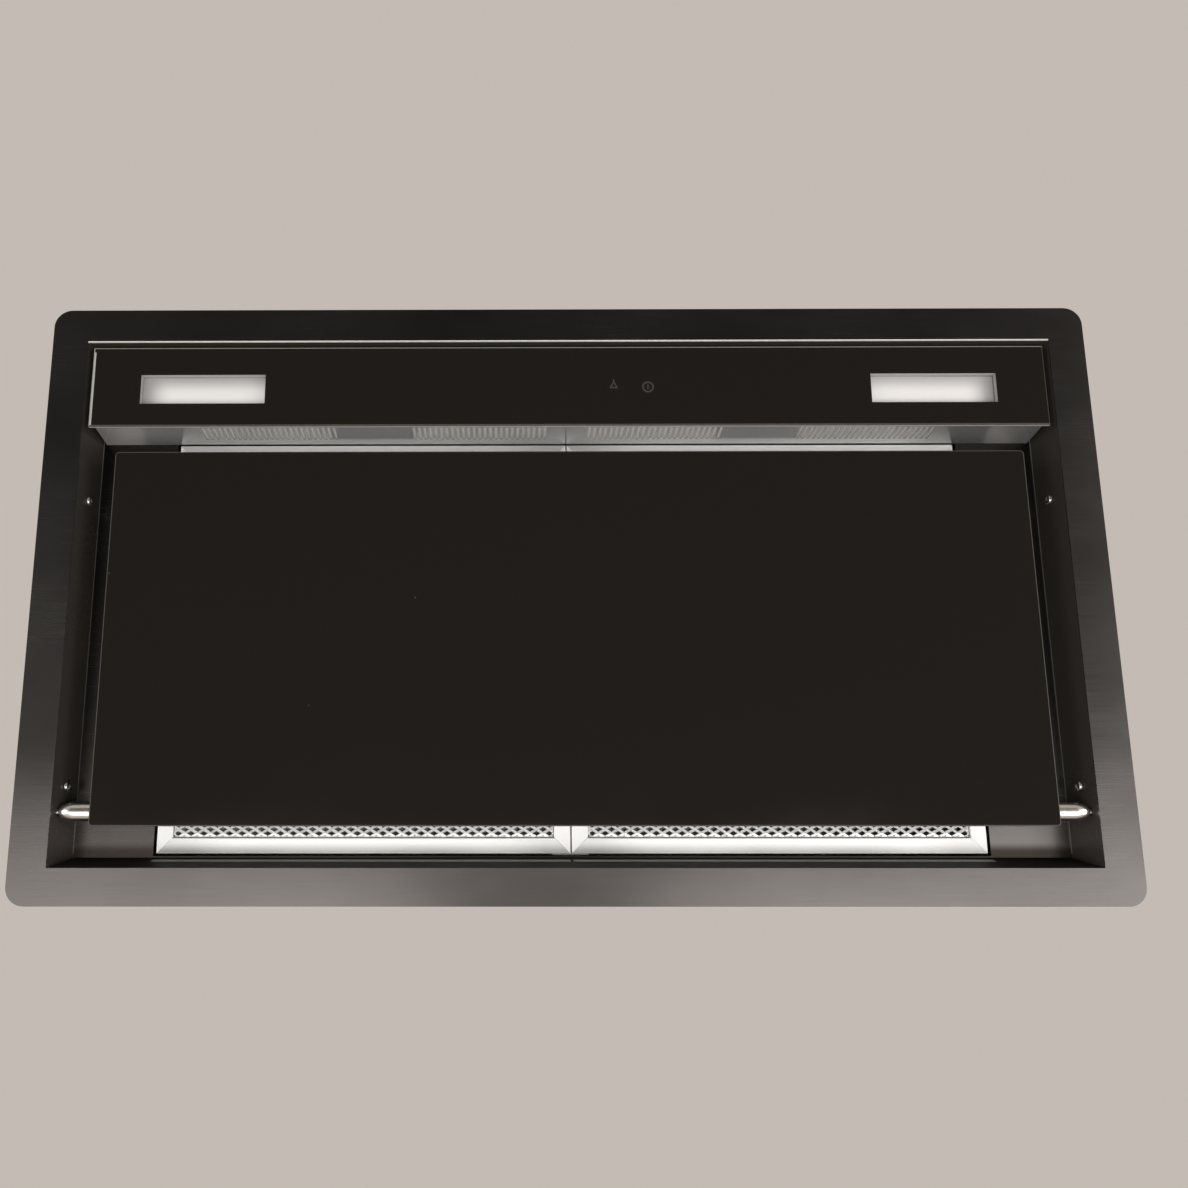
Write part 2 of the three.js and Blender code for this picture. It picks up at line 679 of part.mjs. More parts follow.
function pinBlock() {
  const outer = trayHalfX - SHEET - GAP;
  const inner = outer - PIN_BLOCK_LENGTH;
  const bore = rodX(PIN_TIP_RADIUS + GAP, [inner - PAST, outer + PAST], pivotY, pivotZ, 16);
  return block(
    [inner, outer],
    [pivotY - PIN_BLOCK_DEPTH / 2, trayRear - SHEET - GAP],
    [trayFloorTop + GAP, trayTop - SHEET - GAP],
  ).subtract(bore);
}

// A bearing block outside the side wall, its inner face parallel to the wall.
function pivotBlock() {
  const face = (z) => wallX(z) + SHEET / Math.cos(wallSlope) + GAP;
  const low = SHEET + GAP;
  const high = low + PIVOT_BLOCK_HEIGHT;
  const outer = openHalfX + PIVOT_BLOCK_REACH;
  const body = prismY(
    [[face(low), low], [outer, low], [outer, high], [face(high), high]],
    [pivotY - PIVOT_BLOCK_DEPTH / 2, pivotY + PIVOT_BLOCK_DEPTH / 2],
  );
  return body.subtract(rodX(PIN_TIP_RADIUS + RUNNING_GAP, [deckHalfX, outer + PAST], pivotY, pivotZ, 16));
}

SIDES.forEach((side) => {
  add(`pivot_pin_${side}`, onSide(side, pivotPin()), FINISH.chrome);
  add(`pin_block_${side}`, onSide(side, pinBlock()), FINISH.steel);
  add(`pivot_block_${side}`, onSide(side, pivotBlock()), FINISH.blackPlastic);
});

// ---------------------------------------------------------------- catch posts and magnets

const catchY = trayFront + PANEL_TRAY_RETURN / 2;
const magnetFloor = trayTop + GAP;

function catchPost(x) {
  const floor = magnetFloor + MAGNET_PROUD;
  const post = block(
    [x - CATCH_POST_SIZE / 2, x + CATCH_POST_SIZE / 2],
    [catchY - CATCH_POST_SIZE / 2, catchY + CATCH_POST_SIZE / 2],
    [floor, RECESS_DEPTH - GAP],
  );
  const socketTop = magnetFloor + MAGNET_LENGTH + GAP;
  const socket = disc(MAGNET_RADIUS + GAP, [floor - PAST, socketTop], SMALL_ROUND);
  return post.subtract(solid(socket.translate(x, catchY, 0)));
}

SIDES.forEach((side, i) => {
  const x = (2 * i - 1) * (panelHalfX - CATCH_FROM_SIDE);
  add(`catch_post_${side}`, catchPost(x), FINISH.blackPlastic);
  const magnet = disc(MAGNET_RADIUS, [0, MAGNET_LENGTH], SMALL_ROUND);
  addGeometry(`catch_magnet_${side}`, geometryOf(solid(magnet)), FINISH.chrome, [x, catchY, magnetFloor]);
});

// ---------------------------------------------------------------- grease filters

const filterCentreX = (filterInnerX + filterOuterX) / 2;
const meshFront = filterFront + FILTER_MEMBER;
const latchFloor = RECESS_DEPTH + (FILTER_THICKNESS - LATCH_THICKNESS) / 2;
const latchFront = filterFront + FILTER_MEMBER / 2;
const pocketHalfX = LATCH_WIDTH / 2 + LATCH_POCKET_MARGIN;
const pocketRear = latchFront + LATCH_LENGTH + LATCH_TRAVEL + LATCH_END_GAP;
const latchHousingHalfX = pocketHalfX + LATCH_HOUSING_WALL;
const latchHousingRear = pocketRear + LATCH_HOUSING_WALL;
const tongueFloor = latchFloor + (LATCH_THICKNESS - TONGUE_THICKNESS) / 2;

const latchHousingSpan = (margin) => [
  filterCentreX - latchHousingHalfX - margin,
  filterCentreX + latchHousingHalfX + margin,
];

function filterFrame() {
  const outer = block([filterInnerX, filterOuterX], [filterFront, filterRear], [RECESS_DEPTH, filterTop]);
  const window = block(
    [filterInnerX + FILTER_MEMBER, filterOuterX - FILTER_MEMBER],
    [meshFront, filterRear - FILTER_MEMBER],
    [RECESS_DEPTH - PAST, filterTop + PAST],
  );
  const housing = block(latchHousingSpan(0), [filterFront, latchHousingRear], [RECESS_DEPTH, filterTop]);
  const pocket = block(
    [filterCentreX - pocketHalfX, filterCentreX + pocketHalfX],
    [latchFront - GAP, pocketRear],
    [RECESS_DEPTH - PAST, latchFloor + LATCH_THICKNESS + GAP],
  );
  const passage = block(
    [filterCentreX - TONGUE_WIDTH / 2 - GAP, filterCentreX + TONGUE_WIDTH / 2 + GAP],
    [filterFront - PAST, latchFront],
    [tongueFloor - GAP, tongueFloor + TONGUE_THICKNESS + GAP],
  );
  return cut(outer.subtract(window).add(housing), [pocket, passage]);
}

function filterMesh() {
  const pad = block(
    [filterInnerX + FILTER_MEMBER + GAP, filterOuterX - FILTER_MEMBER - GAP],
    [meshFront + GAP, filterRear - FILTER_MEMBER - GAP],
    [RECESS_DEPTH + MESH_INSET, filterTop - MESH_INSET],
  );
  return pad.subtract(block(
    latchHousingSpan(GAP),
    [filterFront, latchHousingRear + GAP],
    [RECESS_DEPTH, filterTop],
  ));
}

function filterLatch() {
  const slider = block(
    [filterCentreX - LATCH_WIDTH / 2, filterCentreX + LATCH_WIDTH / 2],
    [latchFront, latchFront + LATCH_LENGTH],
    [latchFloor, latchFloor + LATCH_THICKNESS],
  );
  const tongue = block(
    [filterCentreX - TONGUE_WIDTH / 2, filterCentreX + TONGUE_WIDTH / 2],
    [deckOpeningFront - TONGUE_ENGAGEMENT, latchFront + FINGER_TAB_THICKNESS],
    [tongueFloor, tongueFloor + TONGUE_THICKNESS],
  );
  const tab = block(
    [filterCentreX - LATCH_WIDTH / 2, filterCentreX + LATCH_WIDTH / 2],
    [latchFront + LATCH_LENGTH - FINGER_TAB_THICKNESS, latchFront + LATCH_LENGTH],
    [latchFloor - FINGER_TAB_DROP, latchFloor + LATCH_THICKNESS],
  );
  return join([slider, tongue, tab]);
}

SIDES.forEach((side) => {
  add(`filter_frame_${side}`, onSide(side, filterFrame()), FINISH.aluminium);
  add(`filter_mesh_${side}`, onSide(side, filterMesh()), FINISH.mesh);
  add(`filter_latch_${side}`, onSide(side, filterLatch()), FINISH.blackPlastic);
});

// ---------------------------------------------------------------- casings

function plenumCasing() {
  const shell = (inset, z) => roundedPlate(
    plenumHalfX - inset, plenumHalfY - inset, CASING_CORNER_RADIUS - inset, z,
  );
  const mouth = block(
    [-MOTOR_CASING_WIDTH / 2 + SHEET, MOTOR_CASING_WIDTH / 2 - SHEET],
    [-MOTOR_CASING_DEPTH / 2 + SHEET, MOTOR_CASING_DEPTH / 2 - SHEET],
    [plenumTop - SHEET - PAST, plenumTop + PAST],
  );
  return cut(shell(0, [plenumFloor, plenumTop]), [
    shell(SHEET, [plenumFloor - PAST, plenumTop - SHEET]),
    mouth,
  ]);
}

function motorCasing() {
  const shell = (inset, z) => roundedPlate(
    MOTOR_CASING_WIDTH / 2 - inset, MOTOR_CASING_DEPTH / 2 - inset, CASING_CORNER_RADIUS - inset, z,
  );
  const lip = shell(-MOTOR_CASING_LIP, [motorFloor, motorFloor + SHEET]);
  const throughTop = [motorTop - SHEET - PAST, motorTop + PAST];
  const hole = disc(COLLAR_OUTER_RADIUS - COLLAR_WALL, throughTop, ROUND);
  return cut(shell(0, [motorFloor, motorTop]).add(lip), [
    shell(SHEET, [motorFloor - PAST, motorTop - SHEET]),
    solid(hole.translate(0, collarY, 0)),
  ]);
}

// The rail over the gap between the filters, its front end cranked down to the deck.
function centreRail() {
  const halfX = CENTRE_RAIL_WIDTH / 2;
  const railFloor = filterTop + GAP;
  const footRear = deckOpeningFront - CENTRE_RAIL_SETBACK;
  const bar = block(
    [-halfX, halfX],
    [footRear - CENTRE_RAIL_FOOT, plenumHalfY - SHEET - GAP],
    [railFloor, railFloor + SHEET],
  );
  const riser = block([-halfX, halfX], [footRear - SHEET, footRear], [plenumFloor, railFloor + SHEET]);
  return bar.add(riser);
}

add('plenum_casing', plenumCasing(), FINISH.galvanised);
add('motor_casing', motorCasing(), FINISH.galvanised);
add('filter_centre_rail', centreRail(), FINISH.galvanised);

// ---------------------------------------------------------------- blower scroll

// The scroll's outline in the YZ plane, grown outwards by a wall; the neck runs up to the top.
function scrollOutline(wall, top) {
  const points = [];
  const lastTurn = 360 - TONGUE_ANGLE;
  const steps = 30;
  for (let i = 0; i <= steps; i += 1) {
    const turn = (lastTurn * i) / steps;
    const angle = THREE.MathUtils.degToRad(TONGUE_ANGLE + turn);
    const radius = scrollRadius(turn) + wall;
    points.push([BLOWER_CENTRE_Y + radius * Math.cos(angle), blowerZ + radius * Math.sin(angle)]);
  }
  points.push([outletRearY + wall, top]);
  points.push([outletFrontY - wall, top]);
  return points;
}

function scrollHalf() {
  const inner = GAP / 2;
  const outer = SCROLL_WIDTH / 2;
  const body = prismX(scrollOutline(SCROLL_WALL, scrollTop), [inner, outer]);
  const flange = block(
    [inner, outer + SCROLL_FLANGE],
    [outletFrontY - SCROLL_FLANGE, outletRearY + SCROLL_FLANGE],
    [scrollTop - SCROLL_WALL, scrollTop],
  );
  const hollow = prismX(scrollOutline(0, scrollTop + PAST), [inner - PAST, outer - SCROLL_WALL]);
  const throughSide = [outer - SCROLL_WALL - PAST, outer + PAST];
  const inlet = rodX(INLET_RADIUS, throughSide, BLOWER_CENTRE_Y, blowerZ, ROUND);
  return cut(body.add(flange), [hollow, inlet]);
}

function inletRing() {
  const face = SCROLL_WIDTH / 2 + GAP;
  const end = face + INLET_RING_THICKNESS;
  const geometry = turned([
    [INLET_RADIUS, face],
    [INLET_RADIUS + INLET_RING_WIDTH, face],
    [INLET_RADIUS + INLET_RING_WIDTH, end - INLET_RING_OUTER_STEP],
    [INLET_RADIUS + INLET_RING_WIDTH - INLET_RING_OUTER_STEP, end],
    [INLET_RADIUS + INLET_RING_INNER_STEP, end],
    [INLET_RADIUS, end - INLET_RING_INNER_STEP],
    [INLET_RADIUS, face],
  ], ROUND);
  return solid(alongX(geometry).translate(0, BLOWER_CENTRE_Y, blowerZ));
}

SIDES.forEach((side) => {
  add(`scroll_half_${side}`, onSide(side, scrollHalf()), FINISH.greyPlastic);
  add(`inlet_ring_${side}`, onSide(side, inletRing()), FINISH.blackPlastic);
});

// ---------------------------------------------------------------- impeller, shaft and motor

const blowerPlace = [0, BLOWER_CENTRE_Y, blowerZ];
const motorOuterEnd = -(SCROLL_WIDTH / 2 + INLET_RING_THICKNESS + 2 * GAP);
const shaftStart = motorOuterEnd + MOTOR_SHOULDER;

// One half of the double wheel, right of the middle: a ring of blades on a disc.
function impellerHalf() {
  const start = GAP / 2;
  const end = IMPELLER_WIDTH / 2;
  const bladeRadius = IMPELLER_RADIUS - BLADE_DEPTH / 2;
  const bladeSpan = [start + IMPELLER_DISC / 2, end - END_RING_WIDTH / 2];
  const blades = Array.from({ length: BLADE_COUNT }, (_, i) => {
    const geometry = new THREE.BoxGeometry(bladeSpan[1] - bladeSpan[0], BLADE_DEPTH, BLADE_THICKNESS);
    geometry.rotateX(BLADE_LEAN);
    geometry.translate((bladeSpan[0] + bladeSpan[1]) / 2, bladeRadius, 0);
    geometry.rotateX((2 * Math.PI * i) / BLADE_COUNT);
    return solid(geometry);
  });
  return join([
    solid(alongX(ring(IMPELLER_RADIUS - BLADE_DEPTH, IMPELLER_RADIUS, [end - END_RING_WIDTH, end], ROUND))),
    rodX(bladeRadius, [start, start + IMPELLER_DISC], 0, 0, ROUND),
    ...blades,
  ]);
}

function impeller(side) {
  const bore = rodX(SHAFT_RADIUS + GAP, [-IMPELLER_WIDTH, IMPELLER_WIDTH], 0, 0);
  const hub = rodX(HUB_RADIUS, [GAP / 2, HUB_LENGTH], 0, 0);
  const half = onSide(side, impellerHalf());
  return cut(side === 'right' ? join([half, hub]) : half, [bore]);
}

function motorBody() {
  const bossEnd = MOTOR_INNER_END;
  const end = bossEnd - MOTOR_BOSS_LENGTH;
  const shoulderRadius = MOTOR_RADIUS - MOTOR_SHOULDER_STEP;
  const geometry = turned([
    [0, motorOuterEnd],
    [MOTOR_CAP_RADIUS, motorOuterEnd],
    [MOTOR_CAP_RADIUS, motorOuterEnd + MOTOR_CAP_HEIGHT],
    [shoulderRadius, motorOuterEnd + MOTOR_CAP_HEIGHT],
    [MOTOR_RADIUS, motorOuterEnd + MOTOR_SHOULDER],
    [MOTOR_RADIUS, end - MOTOR_SHOULDER_STEP],
    [shoulderRadius, end],
    [HUB_RADIUS, end],
    [HUB_RADIUS, bossEnd],
    [0, bossEnd],
  ], ROUND);
  const bore = rodX(SHAFT_RADIUS + RUNNING_GAP, [shaftStart - SHAFT_END_GAP, bossEnd + PAST], 0, 0);
  return solid(alongX(geometry)).subtract(bore);
}

// A three-armed bracket over the left inlet, which carries the motor on rubber mounts.
const armAngles = [90, 210, 330].map(THREE.MathUtils.degToRad);
const bracketFace = motorOuterEnd - GAP;

function motorBracket() {
  const span = [bracketFace - BRACKET_THICKNESS, bracketFace];
  const arms = armAngles.map((angle) => {
    const geometry = new THREE.BoxGeometry(BRACKET_THICKNESS, BRACKET_ARM_RADIUS, BRACKET_ARM_WIDTH);
    geometry.translate((span[0] + span[1]) / 2, BRACKET_ARM_RADIUS / 2, 0);
    geometry.rotateX(angle);
    return solid(geometry);
  });
  return join([rodX(BRACKET_RING_RADIUS, span, 0, 0, ROUND), ...arms]);
}

SIDES.forEach((side) => add(`impeller_${side}`, impeller(side), FINISH.blackPlastic, blowerPlace));
const shaft = rodX(SHAFT_RADIUS, [shaftStart, HUB_LENGTH - SHAFT_END_GAP], 0, 0);
add('motor_shaft', shaft, FINISH.steel, blowerPlace);
add('motor_body', motorBody(), FINISH.steel, blowerPlace);
add('motor_bracket', motorBracket(), FINISH.galvanised, blowerPlace);
armAngles.forEach((angle, i) => {
  const mount = rodX(RUBBER_MOUNT_RADIUS, [bracketFace + GAP, -SCROLL_WIDTH / 2 - GAP], 0, 0);
  add(`rubber_mount_${i + 1}`, mount, FINISH.rubber, [
    0,
    BLOWER_CENTRE_Y + RUBBER_MOUNT_CIRCLE * Math.cos(angle),
    blowerZ + RUBBER_MOUNT_CIRCLE * Math.sin(angle),
  ]);
});

// ---------------------------------------------------------------- capacitor

const casingWallX = MOTOR_CASING_WIDTH / 2 - SHEET;
const capacitorY = -MOTOR_CASING_DEPTH / 2 + CAPACITOR_FROM_FRONT;
const capacitorBottom = motorFloor + CAPACITOR_ABOVE_FLOOR;
const capacitorX = casingWallX - CAPACITOR_WALL_GAP - CAPACITOR_RADIUS;

function capacitor() {
  const top = CAPACITOR_LENGTH;
  return solid(turned([
    [0, 0],
    [CAPACITOR_RADIUS - CAPACITOR_EDGE, 0],
    [CAPACITOR_RADIUS, CAPACITOR_EDGE],
    [CAPACITOR_RADIUS, top - CAPACITOR_EDGE],
    [CAPACITOR_RADIUS - CAPACITOR_EDGE, top],
    [CAPACITOR_TERMINAL_RADIUS, top],
    [CAPACITOR_TERMINAL_RADIUS, top + CAPACITOR_TERMINAL_LENGTH],
    [0, top + CAPACITOR_TERMINAL_LENGTH],
  ], 28));
}

function capacitorClip() {
  const inner = CAPACITOR_RADIUS + GAP;
  const outer = inner + CAPACITOR_CLIP_THICKNESS;
  const wall = casingWallX - GAP - capacitorX;
  const height = [0, CAPACITOR_CLIP_HEIGHT];
  const halfWidth = CAPACITOR_CLIP_HEIGHT / 2;
  const foot = block([inner, wall], [-halfWidth, halfWidth], height);
  const bore = solid(disc(inner, [-PAST, CAPACITOR_CLIP_HEIGHT + PAST], 28));
  return solid(disc(outer, height, 28)).add(foot).subtract(bore);
}

add('capacitor', capacitor(), FINISH.whitePlastic, [capacitorX, capacitorY, capacitorBottom]);
const clipZ = capacitorBottom + (CAPACITOR_LENGTH - CAPACITOR_CLIP_HEIGHT) / 2;
add('capacitor_clip', capacitorClip(), FINISH.galvanised, [capacitorX, capacitorY, clipZ]);

// ---------------------------------------------------------------- exhaust collar and damper

const boreRadius = COLLAR_OUTER_RADIUS - COLLAR_WALL;
const seatTop = COLLAR_SEAT_HEIGHT + COLLAR_WALL;
const flapFloor = seatTop + GAP;
const knuckleRadius = DAMPER_AXLE_RADIUS + GAP + KNUCKLE_WALL;
const axleZ = flapFloor + knuckleRadius;
const collarPlace = [0, collarY, collarBase];

function exhaustCollar() {
  const outer = COLLAR_OUTER_RADIUS;
  const bead = COLLAR_BEAD_HEIGHT;
  const body = solid(turned([
    [boreRadius, 0],
    [COLLAR_FLANGE_RADIUS, 0],
    [COLLAR_FLANGE_RADIUS, COLLAR_WALL],
    [outer, COLLAR_WALL],
    [outer, bead - COLLAR_BEAD_HALF_LENGTH],
    [outer + COLLAR_BEAD, bead],
    [outer, bead + COLLAR_BEAD_HALF_LENGTH],
    [outer, COLLAR_HEIGHT],
    [boreRadius, COLLAR_HEIGHT],
    [boreRadius, seatTop],
    [boreRadius - COLLAR_SEAT_WIDTH, seatTop],
    [boreRadius - COLLAR_SEAT_WIDTH, COLLAR_SEAT_HEIGHT],
    [boreRadius, COLLAR_SEAT_HEIGHT],
    [boreRadius, 0],
  ], 48));
  const hole = DAMPER_AXLE_RADIUS + GAP;
  return body.subtract(rodX(hole, [-outer - PAST, outer + PAST], 0, axleZ, 12));
}

// A half disc on the -Y side of the axle, with two knuckles round it and room for the other flap's.
function damperFlap() {
  const shape = new THREE.Shape();
  const radius = boreRadius - FLAP_EDGE_GAP;
  const start = Math.asin(FLAP_HINGE_GAP / radius);
  shape.absarc(0, 0, radius, Math.PI + start, 2 * Math.PI - start);
  shape.closePath();
  const plate = solid(extrude(shape, FLAP_THICKNESS, 24).translate(0, 0, flapFloor));
  const knuckles = KNUCKLE_CENTRES.map((x) => {
    const span = [x - KNUCKLE_LENGTH / 2, x + KNUCKLE_LENGTH / 2];
    const leaf = block(span, [-knuckleRadius, 0], [flapFloor, flapFloor + FLAP_THICKNESS]);
    return rodX(knuckleRadius, span, 0, axleZ).add(leaf);
  });
  const notches = KNUCKLE_CENTRES.map((x) => {
    const reach = KNUCKLE_LENGTH / 2 + GAP;
    const depth = [-knuckleRadius - GAP, 0];
    return block([-x - reach, -x + reach], depth, [flapFloor - PAST, flapFloor + FLAP_THICKNESS + PAST]);
  });
  const bore = rodX(DAMPER_AXLE_RADIUS + GAP, [-boreRadius, boreRadius], 0, axleZ, 12);
  return cut(join([cut(plate, notches), ...knuckles]), [bore]);
}

add('exhaust_collar', exhaustCollar(), FINISH.blackPlastic, collarPlace);
const axleHalf = COLLAR_OUTER_RADIUS + 1;
add('damper_axle', rodX(DAMPER_AXLE_RADIUS, [-axleHalf, axleHalf], 0, axleZ, 12), FINISH.steel, collarPlace);
add('damper_flap_front', damperFlap(), FINISH.blackPlastic, collarPlace);
add('damper_flap_rear', damperFlap().rotate([0, 0, 180]), FINISH.blackPlastic, collarPlace);

// ---------------------------------------------------------------- electrical boxes

const boxFloor = plenumTop + GAP;

function openBox([width, depth, height], wall) {
  const body = block([-width / 2, width / 2], [-depth / 2, depth / 2], [0, height]);
  const hollow = block(
    [-width / 2 + wall, width / 2 - wall],
    [-depth / 2 + wall, depth / 2 - wall],
    [wall, height + PAST],
  );
  return body.subtract(hollow);
}

function lid([width, depth, height]) {
  const span = [height + GAP, height + GAP + LID_THICKNESS];
  return bevelledPlate([-width / 2, width / 2], [-depth / 2, depth / 2], span, LID_BEVEL);
}

const glandZ = TERMINAL_BOX_SIZE[2] / 2;
const glandWallX = -TERMINAL_BOX_SIZE[0] / 2;

function cableGland() {
  const face = TERMINAL_BOX_SIZE[0] / 2 + GAP;
  const inner = face - GAP - TERMINAL_BOX_WALL - GLAND_THREAD_LENGTH;
  const nose = face + GLAND_LENGTH;
  const noseRadius = GLAND_RADIUS - GLAND_NOSE_STEP;
  const geometry = turned([
    [GLAND_BORE, inner],
    [GLAND_THREAD_RADIUS, inner],
    [GLAND_THREAD_RADIUS, face],
    [GLAND_RADIUS, face],
    [GLAND_RADIUS, face + GLAND_NUT_LENGTH],
    [noseRadius, nose - GLAND_NOSE_LENGTH],
    [noseRadius - GLAND_NOSE_STEP, nose],
    [GLAND_BORE, nose],
    [GLAND_BORE, inner],
  ], 24);
  return mirrored(solid(alongX(geometry).translate(0, 0, glandZ)));
}

const terminalPlace = [-plenumHalfX + BOX_FROM_END + TERMINAL_BOX_SIZE[0] / 2, 0, boxFloor];
const throughGlandWall = [glandWallX - PAST, glandWallX + TERMINAL_BOX_WALL + PAST];
const glandHole = rodX(GLAND_THREAD_RADIUS + GAP, throughGlandWall, 0, glandZ);
const terminalBox = openBox(TERMINAL_BOX_SIZE, TERMINAL_BOX_WALL).subtract(glandHole);
add('terminal_box', terminalBox, FINISH.blackPlastic, terminalPlace);
add('terminal_box_lid', lid(TERMINAL_BOX_SIZE), FINISH.blackPlastic, terminalPlace);
add('cable_gland', cableGland(), FINISH.blackPlastic, terminalPlace);

const driverPlace = [plenumHalfX - BOX_FROM_END - DRIVER_BOX_SIZE[0] / 2, 0, boxFloor];
add('driver_box', openBox(DRIVER_BOX_SIZE, TERMINAL_BOX_WALL), FINISH.whitePlastic, driverPlace);
add('driver_box_lid', lid(DRIVER_BOX_SIZE), FINISH.whitePlastic, driverPlace);

export default group;
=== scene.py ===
# %% [markdown]
# A built-in range hood insert
#
# The hood hangs in a cupboard over the hob, so it is looked at from below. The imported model
# holds every piece at its real size. This lesson dresses it: each surface gets its finish, and
# the pieces that show from close by get rounded edges and the small forms that real ones have.
# Everything is in metres, +Z points up to the duct, and the control bar is on the -Y side.

# %% The frame
import json
import math

import bmesh
import bpy
from mathutils import Matrix, Vector


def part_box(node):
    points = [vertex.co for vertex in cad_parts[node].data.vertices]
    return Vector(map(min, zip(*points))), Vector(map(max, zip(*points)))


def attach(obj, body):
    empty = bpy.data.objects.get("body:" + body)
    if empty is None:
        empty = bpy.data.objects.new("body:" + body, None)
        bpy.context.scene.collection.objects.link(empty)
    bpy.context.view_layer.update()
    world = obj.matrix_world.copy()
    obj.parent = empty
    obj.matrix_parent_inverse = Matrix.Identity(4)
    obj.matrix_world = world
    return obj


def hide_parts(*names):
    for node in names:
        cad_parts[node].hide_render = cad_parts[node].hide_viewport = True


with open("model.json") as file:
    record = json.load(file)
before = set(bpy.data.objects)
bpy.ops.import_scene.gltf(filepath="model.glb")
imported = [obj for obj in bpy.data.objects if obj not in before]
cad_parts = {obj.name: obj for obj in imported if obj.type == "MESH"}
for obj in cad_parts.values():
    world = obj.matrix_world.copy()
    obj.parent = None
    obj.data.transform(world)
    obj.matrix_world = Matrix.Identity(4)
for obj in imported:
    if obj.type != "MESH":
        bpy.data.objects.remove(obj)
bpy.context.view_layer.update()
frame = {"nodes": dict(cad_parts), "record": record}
scene = bpy.context.scene
scene.view_settings.view_transform = "Standard"
MM = 0.001

# %% [markdown]
# The camera
#
# It stands where the photographer stood: about 70 cm below the hood and a little behind its
# middle, and it looks up. The place and the three small turns come from fitting the outline
# and the recess of the hood to the photograph. The picture is a crop, so the lens axis lies
# left of its middle, which the camera's shift holds.

# %% Camera
PICTURE = 1188
FOCAL_PIXELS = 1100
AXIS_PIXELS_FROM_LEFT = 500
HOOD_FROM_LENS = Vector((45.642, 1.155, 711.527)) * MM
TILT, PAN, ROLL = (math.radians(angle) for angle in (-11.725, 0.305, -0.069))
FIT_CENTRE = Vector((0, 3, 0)) * MM

turn = Matrix.Rotation(ROLL, 3, "Z") @ Matrix.Rotation(PAN, 3, "Y") @ Matrix.Rotation(TILT, 3, "X")
camera_data = bpy.data.cameras.new("camera")
camera_data.sensor_width = 36
camera_data.lens = camera_data.sensor_width * FOCAL_PIXELS / PICTURE
camera_data.shift_x = (PICTURE / 2 - AXIS_PIXELS_FROM_LEFT) / PICTURE
camera_data.clip_start = 0.02
camera = bpy.data.objects.new("camera", camera_data)
scene.collection.objects.link(camera)
right, down, ahead = turn
place = Matrix((right, -down, -ahead)).transposed().to_4x4()
place.translation = FIT_CENTRE - turn.transposed() @ HOOD_FROM_LENS
camera.matrix_world = place
scene.camera = camera
print("camera at", [round(v, 3) for v in camera.location], "lens", round(camera_data.lens, 2))

# %% [markdown]
# Maths on sockets
#
# A procedural finish is mostly arithmetic: a noise, scaled, mixed, cut off. `Socket` wraps an
# output of a node, so that plain Python operators add the Math nodes. `Finish` owns one
# material. Its `node` method makes any other node, sets it up and feeds its inputs.

# %% Socket and Finish
NOISE_ROUGHNESS = 0.55
MIX_FACTOR, MIX_COLOURS, MIX_RESULT = 0, (6, 7), 2


def operator(operation, swapped=False):
    """A method that adds one Math node for two operands."""
    def method(self, other):
        return self.math(operation, *((other, self) if swapped else (self, other)))
    return method


class Socket:
    def __init__(self, finish, output):
        self.finish = finish
        self.output = output

    def math(self, operation, *values):
        return self.finish.node("ShaderNodeMath", {"operation": operation}, *values)

    __add__ = operator("ADD")
    __sub__ = operator("SUBTRACT")
    __rsub__ = operator("SUBTRACT", swapped=True)
    __mul__ = operator("MULTIPLY")
    __gt__ = operator("GREATER_THAN")
    __lt__ = operator("LESS_THAN")
    largest = operator("MAXIMUM")

    def __abs__(self):
        return self.math("ABSOLUTE", self)

    def between(self, low, high, to_low=0.0, to_high=1.0):
        """Fades smoothly from to_low at low to to_high at high."""
        settings = {"interpolation_type": "SMOOTHSTEP"}
        return self.finish.node("ShaderNodeMapRange", settings, self, low, high, to_low, to_high)


